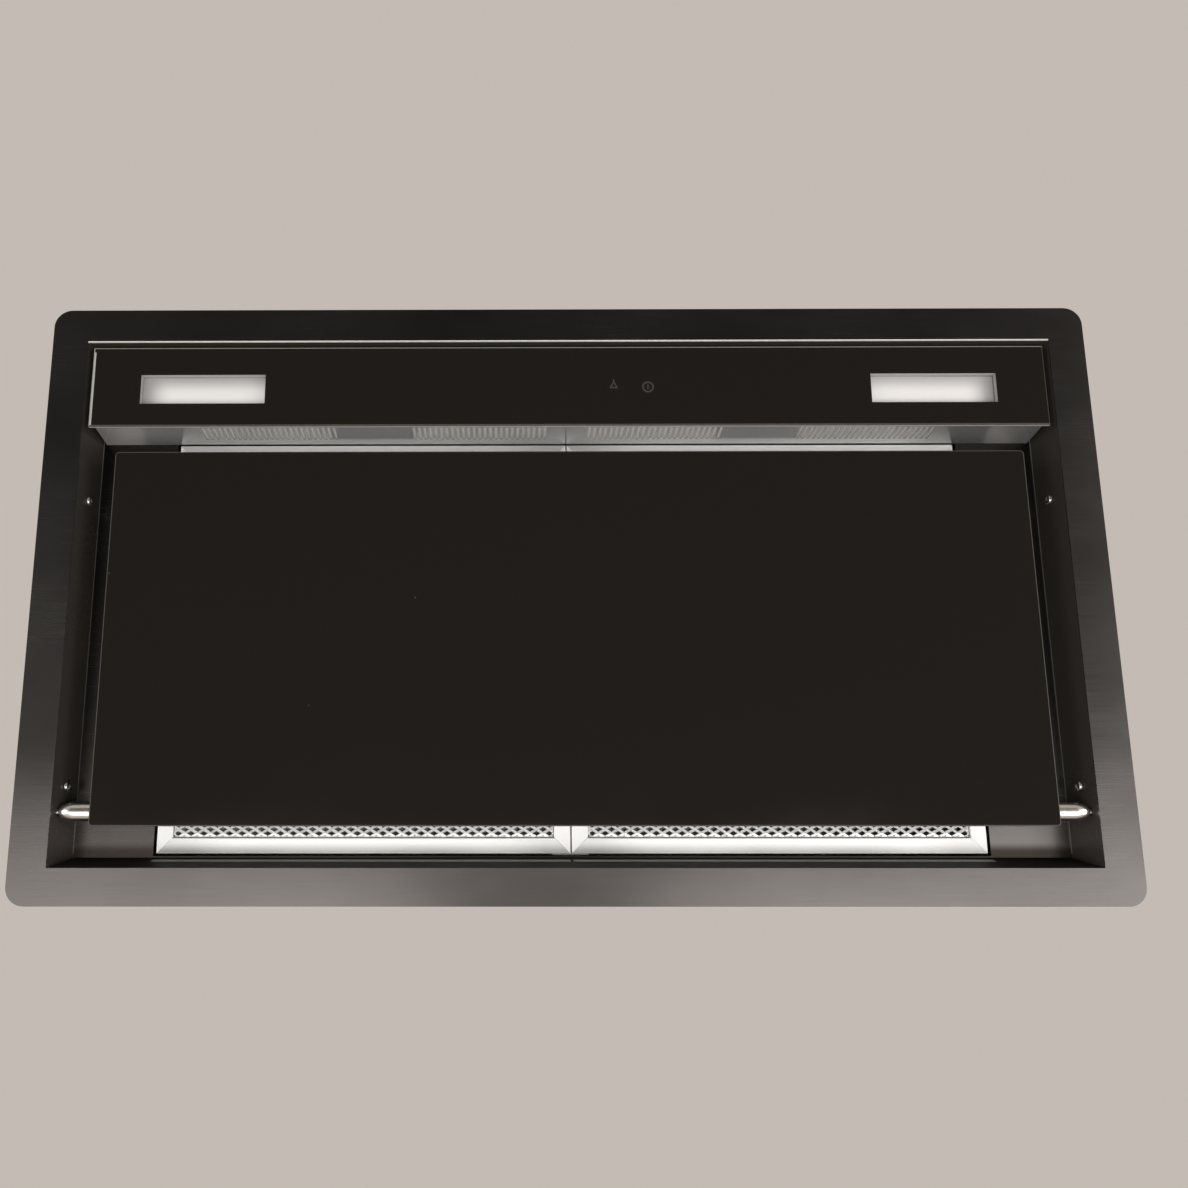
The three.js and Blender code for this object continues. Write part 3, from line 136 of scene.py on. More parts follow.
class Finish:
    def __init__(self, name, **constants):
        self.material = bpy.data.materials.new(name)
        self.material.use_nodes = True
        self.tree = self.material.node_tree
        self.shader = self.tree.nodes["Principled BSDF"]
        for key, value in constants.items():
            self.shader.inputs[key.replace("_", " ")].default_value = value

    def node(self, kind, settings, *values, output=0, named=None):
        made = self.tree.nodes.new(kind)
        for key, value in settings.items():
            setattr(made, key, value)
        pairs = list(zip(made.inputs, values))
        pairs += [(made.inputs[key], value) for key, value in (named or {}).items()]
        for socket, value in pairs:
            if isinstance(value, Socket):
                self.tree.links.new(value.output, socket)
            elif value is not None:
                socket.default_value = value
        return Socket(self, made.outputs[output])

    def place(self, stretch=(1, 1, 1), centre=(0, 0, 0)):
        """Object coordinates, seen from a centre and stretched."""
        objects = self.node("ShaderNodeTexCoord", {}, output="Object")
        moved = self.node("ShaderNodeVectorMath", {"operation": "SUBTRACT"}, objects, centre)
        return self.node("ShaderNodeVectorMath", {"operation": "MULTIPLY"}, moved, stretch)

    def axes(self, centre=(0, 0, 0)):
        parted = self.node("ShaderNodeSeparateXYZ", {}, self.place(centre=centre))
        return [Socket(self, output) for output in parted.output.node.outputs]

    def noise(self, scale, stretch=(1, 1, 1), detail=3.0):
        named = {"Vector": self.place(stretch), "Scale": scale, "Detail": detail}
        named["Roughness"] = NOISE_ROUGHNESS
        return self.node("ShaderNodeTexNoise", {}, named=named)

    def cells(self, scale, stretch=(1, 1, 1), feature="F1", output="Distance"):
        named = {"Vector": self.place(stretch), "Scale": scale}
        return self.node("ShaderNodeTexVoronoi", {"feature": feature}, named=named, output=output)

    def mix(self, factor, low, high):
        """Colour low where the factor is 0, and colour high where it is 1."""
        made = self.tree.nodes.new("ShaderNodeMix")
        made.data_type = "RGBA"
        self.tree.links.new(factor.output, made.inputs[MIX_FACTOR])
        for index, value in zip(MIX_COLOURS, (low, high)):
            if isinstance(value, Socket):
                self.tree.links.new(value.output, made.inputs[index])
            else:
                made.inputs[index].default_value = (*value, 1.0)
        return Socket(self, made.outputs[MIX_RESULT])

    def bump(self, height, depth):
        """Raises the surface by depth metres where the height is 1."""
        named = {"Strength": 1.0, "Distance": depth, "Height": height}
        last = self.shader.inputs["Normal"]
        if last.is_linked:
            named["Normal"] = Socket(self, last.links[0].from_socket)
        self.feed("Normal", self.node("ShaderNodeBump", {}, named=named))

    def feed(self, name, socket):
        self.tree.links.new(socket.output, self.shader.inputs[name])


# %% [markdown]
# Dark satin steel
#
# The flange and the recess are one dark, finely ground steel. It is a metal with a low base
# colour: nearly all that is seen on it is the room, blurred along the grind. Long thin noise
# gives the grind, and a slow noise gives the wiped, slightly uneven gloss that such sheet
# has. The control bar's housing has the same grind, but it is paler and shines more.
#
# Inside the recess the steel carries painted light and shade: its walls are painted nearly
# black as shade, the deck round the filters is painted lighter towards the right and darker
# along its edges, and painted highlights brighten the walls' feet at the sides and the bend
# along the front.

# %% Dark satin steel
FLANGE_TONES = ((0.105, 0.099, 0.095), (0.145, 0.137, 0.132))
FLANGE_GLOSS = 0.175
# Painted tones for the recess: near-black shade, a deck lit towards the right, pale highlights.
RECESS_SHADE_TONE = (0.038, 0.033, 0.029)
DECK_PAINTED_LIGHT_TONES = ((0.075, 0.067, 0.06), (0.19, 0.182, 0.175))
FOOT_HIGHLIGHT_TONE = (0.17, 0.16, 0.15)
BEND_HIGHLIGHT_TONE = (0.75, 0.73, 0.70)

RECESS_HALF = Vector((326, 174)) * MM
DECK_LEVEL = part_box("filter_frame_left")[0].z
FILTER_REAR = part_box("filter_frame_left")[1].y
WALL_STARTS = (0.4 * MM, 1.2 * MM)
DECK_STARTS = (DECK_LEVEL - 0.6 * MM, DECK_LEVEL - 0.2 * MM)
FOOT_STARTS = (DECK_LEVEL - 1.6 * MM, DECK_LEVEL - 1.2 * MM)
FOOT_FROM = RECESS_HALF.x - 8 * MM
REAR_SHADE = (FILTER_REAR - 8 * MM, FILTER_REAR - 1 * MM)
SIDE_SHADE = (RECESS_HALF.x - 14 * MM, RECESS_HALF.x - 6 * MM)
FRONT_SHADE = (-60 * MM, -95 * MM)
BEND_HEIGHT = (1.6 * MM, 1.0 * MM)
BEND_WIDTH = (0.55 * MM, 0.25 * MM)


def brushed(finish, along, across, depth):
    """Grind marks: noise that is long in one direction and fine in the others."""
    stretch = [across] * 3
    stretch["XYZ".index(along)] = across / 60
    marks = finish.noise(1.0, stretch, detail=4.0)
    finish.bump(marks, depth)
    return marks


def ground_steel(name, tones, gloss):
    finish = Finish(name, Metallic=1.0)
    marks = brushed(finish, "X", 1400, 0.000008)
    wiped = finish.noise(7.0, (1, 1.6, 1), detail=3.0)
    tone = marks * 0.35 + wiped * 0.65
    steel = finish.mix(tone.between(0.3, 0.7), *tones)
    finish.feed("Base Color", steel)
    finish.feed("Roughness", marks * 0.08 + wiped * 0.08 + gloss)
    return finish, steel


def flange_steel():
    """Flange; walls and deck edges in painted shade, the deck in painted light, and painted
    highlights on the walls' feet at the sides and the bend at the front.
    """
    finish, steel = ground_steel("dark_satin_steel", FLANGE_TONES, FLANGE_GLOSS)
    x, y, z = finish.axes()
    deck = z.between(*DECK_STARTS)
    # Painted shade: the recess walls are near black and less metallic.
    wall = z.between(*WALL_STARTS) * (1 - deck)
    # Painted highlight along the feet of the side walls.
    foot = z.between(*FOOT_STARTS) * (1 - deck) * (abs(x) > FOOT_FROM) * (y < FILTER_REAR)
    # Painted shade along the deck's rear, side and front edges.
    edge = y.between(*REAR_SHADE).largest(abs(x).between(*SIDE_SHADE) * 0.5)
    shaded = deck * edge.largest(y.between(*FRONT_SHADE) * 0.6)
    # Painted highlight along the bend at the recess's front edge.
    front = abs(y + RECESS_HALF.y).between(*BEND_WIDTH) * (abs(x) < RECESS_HALF.x)
    bend_highlight = z.between(*BEND_HEIGHT) * front
    # Painted light across the deck, lighter towards the right.
    side = x.between(-RECESS_HALF.x, RECESS_HALF.x)
    steel = finish.mix(deck * 0.65, steel, finish.mix(side, *DECK_PAINTED_LIGHT_TONES))
    colour = finish.mix(wall.largest(shaded), steel, RECESS_SHADE_TONE)
    colour = finish.mix(foot, colour, FOOT_HIGHLIGHT_TONE)
    finish.feed("Base Color", finish.mix(bend_highlight, colour, BEND_HIGHLIGHT_TONE))
    finish.feed("Metallic", 1 - wall.largest(bend_highlight) * 0.75)
    return finish.material


DARK_STEEL = flange_steel()
print("made", DARK_STEEL.name)

# %% The bar's housing and the rear wall
HOUSING_TONES = ((0.48, 0.48, 0.48), (0.66, 0.65, 0.64))
HOUSING_GLOSS = 0.09
HOUSING_METALLIC = 0.72
# Painted shade for the housing's right end.
HOUSING_END = (225 * MM, 270 * MM)
HOUSING_END_SHADE_TONE = (0.12, 0.115, 0.11)
# Painted shade for the rear wall, and a painted reflection of the filters' edge on it.
REAR_WALL_SHADE_TONES = ((0.011, 0.01, 0.009), (0.017, 0.016, 0.015))
REAR_LINE_HEIGHT = 21 * MM
REAR_LINE_HALF = 4 * MM
REAR_WALL_REFLECTION_TONE = (0.33, 0.32, 0.31)
MIDDLE_GAP = 1 * MM
FRAME_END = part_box("filter_frame_right")[1].x


def housing_steel():
    """The right end mirrors the lit part of the deck, so painted shade darkens it there."""
    finish, steel = ground_steel("housing_steel", HOUSING_TONES, HOUSING_GLOSS)
    x = finish.axes()[0]
    # Painted shade towards the right end.
    finish.feed("Base Color", finish.mix(x.between(*HOUSING_END) * 0.5, steel, HOUSING_END_SHADE_TONE))
    finish.shader.inputs["Metallic"].default_value = HOUSING_METALLIC
    return finish.material


def rear_wall_steel():
    """The wall behind the filters is painted matt near black as shade, with a painted reflection
    of the filters' edge as a line.
    """
    finish = Finish("rear_wall_steel", Roughness=0.6, Specular_IOR_Level=0.1)
    x, _, z = finish.axes()
    wiped = finish.noise(7.0, (1, 1.6, 1), detail=3.0)
    # A painted reflection of the filters' edge runs along the wall as a pale line.
    painted_reflection = abs(z - REAR_LINE_HEIGHT).between(REAR_LINE_HALF, REAR_LINE_HALF * 0.4)
    painted_reflection = painted_reflection * (abs(x) < FRAME_END) * (abs(x) > MIDDLE_GAP)
    finish.feed("Base Color", finish.mix(painted_reflection, finish.mix(wiped, *REAR_WALL_SHADE_TONES), REAR_WALL_REFLECTION_TONE))
    return finish.material


HOUSING_STEEL = housing_steel()
REAR_WALL_STEEL = rear_wall_steel()
print("made", HOUSING_STEEL.name, REAR_WALL_STEEL.name)

# %% [markdown]
# Black glass
#
# Both glass plates are painted black behind, so they show no colour of their own, only a
# sharp reflection. A real plate still has faint dust and wipe marks, which lift the gloss a
# little. The control bar's glass also carries two faint generic marks, a lamp and a ring,
# drawn by distance from their middles, and a painted highlight, a pale band along its left
# end. The ground edges are another finish: frosted, so the bar's catch light from all sides
# and draw a thin pale outline. The panel's are darker, and the bar's rear lower arris and
# right end take the panel's darker edge as painted shade.

# %% Black glass and its ground edge
GLASS_BLACK = (0.0088, 0.0074, 0.006)
RING_X, RING_Y, RING_RADIUS = 54 * MM, -140.5 * MM, 3.4 * MM
LAMP_X, LAMP_Y, LAMP_HALF = 31 * MM, -142 * MM, 2 * MM
LINE_HALF = 0.5 * MM
MARK_TONE = (0.04, 0.039, 0.037)
DUST_TONE = (0.06, 0.056, 0.05)
DUST_CELLS = 60.0
DUST_RARITY = 0.93
BAR_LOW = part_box("control_glass")[0]
# A painted highlight: a pale band along the underside of the bar's left end.
END_BAND = 2.0 * MM
END_BAND_FROM = 3.5 * MM
UNDERSIDE = 1 * MM
END_HIGHLIGHT_TONE = (0.34, 0.33, 0.32)


def black_glass(name="black_glass"):
    finish = Finish(name, IOR=1.5)
    rare = finish.node("ShaderNodeSeparateColor", {}, finish.cells(DUST_CELLS, output="Color"))
    dust = finish.cells(DUST_CELLS).between(0.035, 0.02) * (rare > DUST_RARITY)
    wiped = finish.noise(9.0, (1, 2.5, 1), detail=4.0)
    finish.feed("Base Color", finish.mix(dust, GLASS_BLACK, DUST_TONE))
    finish.feed("Roughness", wiped.between(0.35, 0.75, 0.045, 0.1) + dust * 0.3)
    return finish


def marked_glass():
    """The bar's glass: a ring and a lamp over two touch keys, and a painted highlight, a pale band
    at its left end.
    """
    finish = black_glass("marked_glass")
    x, y, _ = finish.axes((RING_X, RING_Y, 0))
    reach = finish.node("ShaderNodeMath", {"operation": "SQRT"}, x * x + y * y)
    fade = (LINE_HALF * 1.6, LINE_HALF * 0.6)
    ring = abs(reach - RING_RADIUS).between(*fade)
    stroke = abs(x).between(*fade) * (abs(y) < RING_RADIUS * 0.45)
    x, y, _ = finish.axes((LAMP_X, LAMP_Y, 0))
    shade = (abs(abs(x) - (y + LAMP_HALF) * 0.6) < LINE_HALF) * (abs(y) < LAMP_HALF)
    foot = (abs(x) < LAMP_HALF * 1.2) * (abs(y - LAMP_HALF) < LINE_HALF)
    drop = (abs(x) < LINE_HALF) * (abs(y + LAMP_HALF * 1.5) < LAMP_HALF * 0.5)
    marks = ring.largest(stroke).largest(shade).largest(foot).largest(drop)
    glass = Socket(finish, finish.shader.inputs["Base Color"].links[0].from_socket)
    x, y, z = finish.axes()
    # Painted highlight along the left end.
    end_highlight = (x < BAR_LOW.x + END_BAND) * (y > BAR_LOW.y + END_BAND_FROM) * (z < UNDERSIDE)
    finish.feed("Base Color", finish.mix(end_highlight, finish.mix(marks, glass, MARK_TONE), END_HIGHLIGHT_TONE))
    return finish.material


def ground_edge(name, dark, light, shine):
    finish = Finish(name, IOR=1.5, Specular_IOR_Level=shine)
    grain = finish.noise(900.0, detail=2.0)
    finish.feed("Base Color", finish.mix(grain, dark, light))
    finish.feed("Roughness", grain * 0.15 + 0.35)
    finish.bump(grain, 0.00002)
    return finish.material


PANEL_GLASS = black_glass().material
BAR_GLASS = marked_glass()
BAR_EDGE = ground_edge("bar_glass_edge", (0.24, 0.235, 0.225), (0.42, 0.41, 0.39), 0.5)
PANEL_EDGE = ground_edge("panel_glass_edge", (0.04, 0.036, 0.032), (0.065, 0.06, 0.055), 0.15)
print("made", PANEL_GLASS.name, BAR_EDGE.name, PANEL_EDGE.name)

# %% [markdown]
# Bright metals
#
# The bright metals differ in colour, gloss and grain: turned chrome for the pivot pins,
# zinc-plated folded steel, etched aluminium for the filters, galvanised sheet for the casings
# and plain pressed steel for the motor. Galvanised sheet shows crystals of zinc, each turned
# its own way: Voronoi cells with a random grey and gloss.

# %% Chrome and zinc
ZINC_TONES = ((0.44, 0.45, 0.46), (0.62, 0.62, 0.61))


def turned_chrome():
    finish = Finish("turned_chrome", Metallic=1.0)
    rings = brushed(finish, "Y", 900, 0.000004)
    finish.feed("Base Color", finish.mix(rings, (0.72, 0.69, 0.64), (0.9, 0.87, 0.82)))
    finish.feed("Roughness", rings * 0.1 + 0.2)
    return finish.material


def hazy_steel(name, metallic, scale, tones, haze_gloss, gloss, depth):
    """Plain steel with one haze in its colour, its gloss and its surface."""
    finish = Finish(name, Metallic=metallic)
    haze = finish.noise(scale, detail=4.0)
    finish.feed("Base Color", finish.mix(haze, *tones))
    finish.feed("Roughness", haze * haze_gloss + gloss)
    finish.bump(haze, depth)
    return finish.material


CHROME = turned_chrome()
ZINC = hazy_steel("zinc_steel", 1.0, 60.0, ZINC_TONES, 0.22, 0.24, 0.00002)
print("made", CHROME.name, ZINC.name)

# %% Aluminium
ETCHED_TONES = ((0.82, 0.82, 0.815), (0.95, 0.95, 0.945))
# The end bars' tone is a darker copy of the etched aluminium: painted shade.
END_BAR_SHADE_TONES = ((0.70, 0.70, 0.70), (0.80, 0.80, 0.80))
# The inner mesh's tone is painted darker as shade.
INNER_SHADE_TONES = ((0.3, 0.3, 0.296), (0.46, 0.46, 0.455))
# The grey of the painted shade on the long bars.
CROWN_SHADE_TONE = (0.30, 0.30, 0.295)
CROWN = 10 * MM
CROWN_SHADE = (2 * MM, 9.5 * MM)
CROWN_LIP = (1.3 * MM, 0.5 * MM)
BAR_ENDS = (80 * MM, 122 * MM)


def aluminium(name, along, metallic, tones=ETCHED_TONES):
    finish = Finish(name, Metallic=metallic)
    marks = brushed(finish, along, 1100, 0.00001)
    haze = finish.noise(25.0, detail=4.0)
    colour = finish.mix(marks * 0.5 + haze * 0.5, *tones)
    finish.feed("Base Color", colour)
    finish.feed("Roughness", marks * 0.12 + haze * 0.1 + 0.3)
    return finish, colour


def crossbar_aluminium():
    """The real long bars are slightly crowned: painted shade greys them towards their outer edge,
    near their ends and along their inner edge, and painted light lifts the front bar towards the
    right.
    """
    finish, colour = aluminium("filter_crossbar", "X", 0.4)
    low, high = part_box("filter_frame_left")
    x, y, _ = finish.axes()
    outer = abs(y - (low.y + high.y) / 2) - ((high.y - low.y) / 2 - CROWN)
    cloud = finish.noise(9.0, (1, 0.3, 1), detail=1.0)
    # Painted shade towards the outer edge, broken up by a slow noise.
    shade = outer.between(*CROWN_SHADE) * (cloud.between(0.35, 0.65) * 0.35 + 0.4)
    # Painted shade near the ends of each bar.
    ends = abs(abs(x) - (low.x + high.x) / -2).between(*BAR_ENDS) * 0.3
    # Painted shade along the inner edge, beside the mesh.
    lip = outer.between(*CROWN_LIP) * 0.6
    # Painted light: the front bar's shade is lifted, most towards the right.
    glint = x.between(0, 70 * MM) * 0.6 - x.between(-160 * MM, -20 * MM) * 0.25 + 0.55
    shade = (shade + ends).largest(lip) * (1 - (y < 0) * glint)
    finish.feed("Base Color", finish.mix(shade, colour, CROWN_SHADE_TONE))
    return finish.material


ALUMINIUM = aluminium("filter_aluminium", "Y", 0.2, END_BAR_SHADE_TONES)[0].material
CROSSBAR_ALUMINIUM = crossbar_aluminium()
MESH_ALUMINIUM = aluminium("mesh_aluminium", "Y", 0.3)[0].material
INNER_MESH = ground_steel("inner_mesh_aluminium", INNER_SHADE_TONES, 0.3)[0].material
print("made", ALUMINIUM.name, CROSSBAR_ALUMINIUM.name, MESH_ALUMINIUM.name, INNER_MESH.name)

# %% Galvanised sheet and motor steel
CRYSTALS = (85.0, (1, 1.3, 1))
GALVANISED_TONES = ((0.40, 0.415, 0.425), (0.63, 0.64, 0.64))
MOTOR_TONES = ((0.36, 0.36, 0.36), (0.55, 0.55, 0.54))


def galvanised():
    finish = Finish("galvanised_sheet", Metallic=0.9)
    crystal = finish.cells(*CRYSTALS, output="Color")
    tone = finish.node("ShaderNodeSeparateColor", {}, crystal)
    border = finish.cells(*CRYSTALS, feature="DISTANCE_TO_EDGE").between(0.0, 0.06)
    haze = finish.noise(14.0, detail=5.0)
    finish.feed("Base Color", finish.mix(tone * 0.7 + haze * 0.3, *GALVANISED_TONES))
    finish.feed("Roughness", tone * 0.16 + haze * 0.12 + 0.26)
    finish.bump(border, 0.000015)
    finish.bump(haze, 0.00015)
    return finish.material


GALVANISED = galvanised()
MOTOR_STEEL = hazy_steel("motor_steel", 0.9, 45.0, MOTOR_TONES, 0.2, 0.28, 0.00003)
print("made", GALVANISED.name, MOTOR_STEEL.name)

# %% [markdown]
# Plastics, rubber and the circuit board
#
# Moulded plastic is told from paint by its spark-eroded grain, a fine even roughness a few
# tenths of a millimetre wide. One function makes them all, from a colour and a grain.

# %% Plastics, rubber and circuit board
LINER_TONES = ((0.47, 0.45, 0.425), (0.59, 0.57, 0.54))
# Painted light: the slot liner glows faintly, though it is no lamp.
LINER_PAINTED_GLOW = 0.05


def moulded(name, dark, light, roughness, grain_depth):
    finish = Finish(name)
    grain = finish.noise(1600.0, detail=2.0)
    flow = finish.noise(11.0, detail=3.0)
    finish.feed("Base Color", finish.mix(flow * 0.7 + grain * 0.3, dark, light))
    finish.feed("Roughness", grain * 0.12 + flow * 0.08 + roughness)
    finish.bump(grain, grain_depth)
    return finish.material


def circuit_board():
    finish = Finish("circuit_board")
    tracks = finish.cells(260.0, feature="DISTANCE_TO_EDGE").between(0.03, 0.05)
    finish.feed("Base Color", finish.mix(tracks, (0.05, 0.19, 0.08), (0.012, 0.075, 0.03)))
    finish.feed("Roughness", tracks * 0.15 + 0.3)
    finish.bump(tracks, 0.00003)
    return finish.material


def liner():
    """The pale plate behind the bar's slots, with a faint painted glow for light from the lamps in
    the bar.
    """
    finish = Finish("slot_liner", Roughness=0.6, Emission_Strength=LINER_PAINTED_GLOW)
    haze = finish.noise(22.0, (1, 1, 0.4), detail=3.0)
    tone = finish.mix(haze, *LINER_TONES)
    finish.feed("Base Color", tone)
    finish.feed("Emission Color", tone)
    return finish.material


LINER_FINISH = liner()
BLACK_PLASTIC = moulded(
    "black_plastic", (0.011, 0.011, 0.0115), (0.022, 0.022, 0.022), 0.42, 0.00004,
)
GREY_PLASTIC = moulded("grey_plastic", (0.14, 0.15, 0.155), (0.19, 0.2, 0.205), 0.45, 0.00004)
WHITE_PLASTIC = moulded("white_plastic", (0.68, 0.68, 0.66), (0.78, 0.78, 0.76), 0.4, 0.00003)
RUBBER = moulded("rubber", (0.008, 0.008, 0.008), (0.018, 0.018, 0.018), 0.7, 0.00006)
CIRCUIT_BOARD = circuit_board()
print("made", BLACK_PLASTIC.name, GREY_PLASTIC.name, WHITE_PLASTIC.name, RUBBER.name)

# %% [markdown]
# The two light lenses
#
# Each lens is opal plastic over a lamp module. It glows a little. Its colour and glow carry
# painted shade along its outer end and its front edge, where the frame of the module shades it,
# and the two lenses differ a little in painted shade.

# %% Light lens
# The two lenses differ a little in glow and tone: painted shade.
LENS_GLOW = {"left": 0.06, "right": 0.05}
LENS_SHADE_TONES = {
    "left": ((0.2, 0.196, 0.196), (0.57, 0.56, 0.555)),
    "right": ((0.24, 0.233, 0.233), (0.58, 0.57, 0.565)),
}
GLOW_TONES = ((0.12, 0.12, 0.12), (1.0, 0.98, 0.96))


def light_lens(side):
    lens_low, lens_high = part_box(f"light_lens_{side}")
    centre = (lens_low + lens_high) / 2
    half = (lens_high - lens_low) / 2
    finish = Finish(f"light_lens_{side}", Emission_Strength=LENS_GLOW[side])
    x, y, _ = finish.axes(centre)
    outward = x * (-1 if side == "left" else 1)
    # Painted shade along the outer end and the front edge, in both colour and glow.
    ends = outward.between(half.x * 0.97, half.x * 0.5)
    front = y.between(-half.y * 0.9, half.y * 0.1)
    painted_lighting = ends * front * 0.85 + 0.15
    frost = finish.noise(700.0, detail=2.0)
    finish.feed("Base Color", finish.mix(painted_lighting, *LENS_SHADE_TONES[side]))
    finish.feed("Emission Color", finish.mix(painted_lighting, *GLOW_TONES))
    finish.feed("Roughness", frost * 0.2 + 0.35)
    finish.bump(frost, 0.00003)
    return finish.material


LENSES = {side: light_lens(side) for side in ("left", "right")}
print("made", [lens.name for lens in LENSES.values()])

# %% [markdown]
# Dressing the nodes
#
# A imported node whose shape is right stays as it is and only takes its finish. One table says
# which finish belongs to which name, and what it doesn't name is black plastic.

# %% Finishes by node name
NODES_BY_FINISH = (
    (DARK_STEEL, "flange_tray"),
    (HOUSING_STEEL, "control_housing"),
    (BAR_GLASS, "control_glass"),
    (PANEL_GLASS, "panel_glass"),
    (ZINC, "panel_tray pin_block spring_clip clip_screw damper_axle"),
    (CHROME, "pivot_pin catch_magnet motor_shaft"),
    (ALUMINIUM, "filter_frame"),
    (MESH_ALUMINIUM, "filter_mesh"),
    (GALVANISED, "filter_centre_rail plenum_casing motor_casing motor_bracket capacitor_clip"),
    (MOTOR_STEEL, "motor_body"),
    (GREY_PLASTIC, "filter_latch scroll_half"),
    (WHITE_PLASTIC, "light_module capacitor driver_box"),
    (LENSES["left"], "light_lens_left"),
    (LENSES["right"], "light_lens_right"),
    (CIRCUIT_BOARD, "touch_board"),
    (RUBBER, "rubber_mount"),
)
FINISH_OF = {name: finish for finish, names in NODES_BY_FINISH for name in names.split()}


def dress(node):
    names = [name for name in FINISH_OF if node.name.startswith(name)]
    material = FINISH_OF[max(names, key=len)] if names else BLACK_PLASTIC
    node.data.materials.clear()
    node.data.materials.append(material)


for node in frame["nodes"].values():
    dress(node)
print("dressed", len(frame["nodes"]))

# %% [markdown]
# Tools for modelling
#
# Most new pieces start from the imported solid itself: a copy of its mesh is merged, its flat
# faces are joined, and its sharp edges get the small radius that folding or moulding leaves.
# That radius is what catches the light. Others start from a block, a cylinder, a grid or a
# profile that is spun. `keep` turns a finished bmesh into a piece that rides on its body.

# %% Tools for modelling
RECORD = frame["record"]
BODIES = RECORD["behaviour"]["bodies"]
BODY_OF = {node: body for body, nodes in BODIES.items() for node in nodes}
SHARP = math.radians(34)
FLAT = math.radians(1)
SPIN_STEPS = 64
MERGE = 1e-6


def to_object(bm, name):
    mesh = bpy.data.meshes.new(name)
    bm.to_mesh(mesh)
    bm.free()
    made = bpy.data.objects.new(name, mesh)
    scene.collection.objects.link(made)
    return made


def keep(bm, name, like, material, replaces=()):
    """The piece rides on the body of the node that it is like, and takes the materials it is
    given.
    """
    for face in bm.faces:
        face.smooth = True
    for edge in bm.edges:
        edge.smooth = len(edge.link_faces) == 2 and edge.calc_face_angle(0) < SHARP
    piece = to_object(bm, name)
    for each in material if isinstance(material, list) else [material]:
        piece.data.materials.append(each)
    normals = piece.modifiers.new("even_normals", "WEIGHTED_NORMAL")
    normals.weight = 100
    normals.keep_sharp = True
    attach(piece, BODY_OF[like])
    if replaces:
        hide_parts(*replaces)
    return piece


def solid_of(node):
    bm = bmesh.new()
    bm.from_mesh(frame["nodes"][node].data)
    bmesh.ops.remove_doubles(bm, verts=bm.verts, dist=MERGE)
    bmesh.ops.dissolve_limit(bm, angle_limit=FLAT, verts=bm.verts, edges=bm.edges)
    return bm


def soften(bm, radius, segments=2, edges=None):
    sharp = [e for e in bm.edges if len(e.link_faces) == 2 and e.calc_face_angle(0) > SHARP]
    bmesh.ops.bevel(
        bm, geom=edges or sharp, offset=radius, segments=segments, profile=0.5,
        affect="EDGES", clamp_overlap=True, material=-1,
    )
    return bm


def cut(bm, point, normal, clear=False):
    """Cuts everything by a plane, and clears what lies beyond it if asked to."""
    geom = [*bm.verts, *bm.edges, *bm.faces]
    made = bmesh.ops.bisect_plane(
        bm, geom=geom, plane_co=point, plane_no=normal, clear_outer=clear,
    )
    return made["geom_cut"]


def block(low, high, radius=0.0, segments=2):
    bm = bmesh.new()
    bmesh.ops.create_cube(bm, size=1)
    low, high = Vector(low), Vector(high)
    bmesh.ops.scale(bm, vec=high - low, verts=bm.verts)
    bmesh.ops.translate(bm, vec=(low + high) / 2, verts=bm.verts)
    if radius:
        soften(bm, radius, segments)
    return bm


def spun(profile, centre):
    """Turns (distance along X, radius) points, the first and last of them on the axis."""
    bm = bmesh.new()
    verts = [bm.verts.new((along, 0, radius)) for along, radius in profile]
    edges = [bm.edges.new(pair) for pair in zip(verts, verts[1:])]
    bmesh.ops.spin(
        bm, geom=verts + edges, cent=(0, 0, 0), axis=(1, 0, 0), angle=2 * math.pi,
        steps=SPIN_STEPS, use_merge=True,
    )
    bmesh.ops.remove_doubles(bm, verts=bm.verts, dist=MERGE)
    bmesh.ops.recalc_face_normals(bm, faces=bm.faces)
    bmesh.ops.translate(bm, vec=centre, verts=bm.verts)
    return bm


def gather(parts):
    """One bmesh that holds all the parts, each a bmesh that is freed."""
    bm = bmesh.new()
    mesh = bpy.data.meshes.new("part")
    for part in parts:
        part.to_mesh(mesh)
        part.free()
        bm.from_mesh(mesh)
    bpy.data.meshes.remove(mesh)
    return bm


# %% [markdown]
# Folded and moulded pieces
#
# Sheet steel is folded round a radius of about its own thickness, and moulded plastic has
# rounded edges too, so these nodes are replaced by copies with softened edges. The table
# holds the radii in millimetres. Two of the copies get something more: the bar's slotted face
# leans 1.3 mm further at its top, and the recess's rear wall takes a finish of its own, with
# painted shade and a painted reflection.

# %% Softened copies of imported nodes
NODES_BY_RADIUS = {
    0.9: "flange_tray",
    0.8: "plenum_casing terminal_box driver_box motor_body",
    0.6: "pivot_block rubber_mount",
    0.5: "panel_tray filter_latch motor_casing capacitor light_module",
    0.4: "filter_centre_rail motor_bracket pin_block spring_clip scroll_half inlet_ring",
    0.3: "control_housing damper_flap damper_axle exhaust_collar cable_gland catch_magnet",
    1.0: "catch_post",
}
SOFT_EDGES = {name: radius for radius, names in NODES_BY_RADIUS.items() for name in names.split()}
FACE_FOOT = Vector((0, -114.8, 4.4)) * MM
FACE_HEIGHT = 25.2
FACE_PACKED_LEAN = 3 / FACE_HEIGHT
FACE_EXTRA_LEAN = 1.3 / FACE_HEIGHT
FACE_BACK = 4 * MM
FACES_FRONT = -0.9
ABOVE_RIM = 0.5 * MM


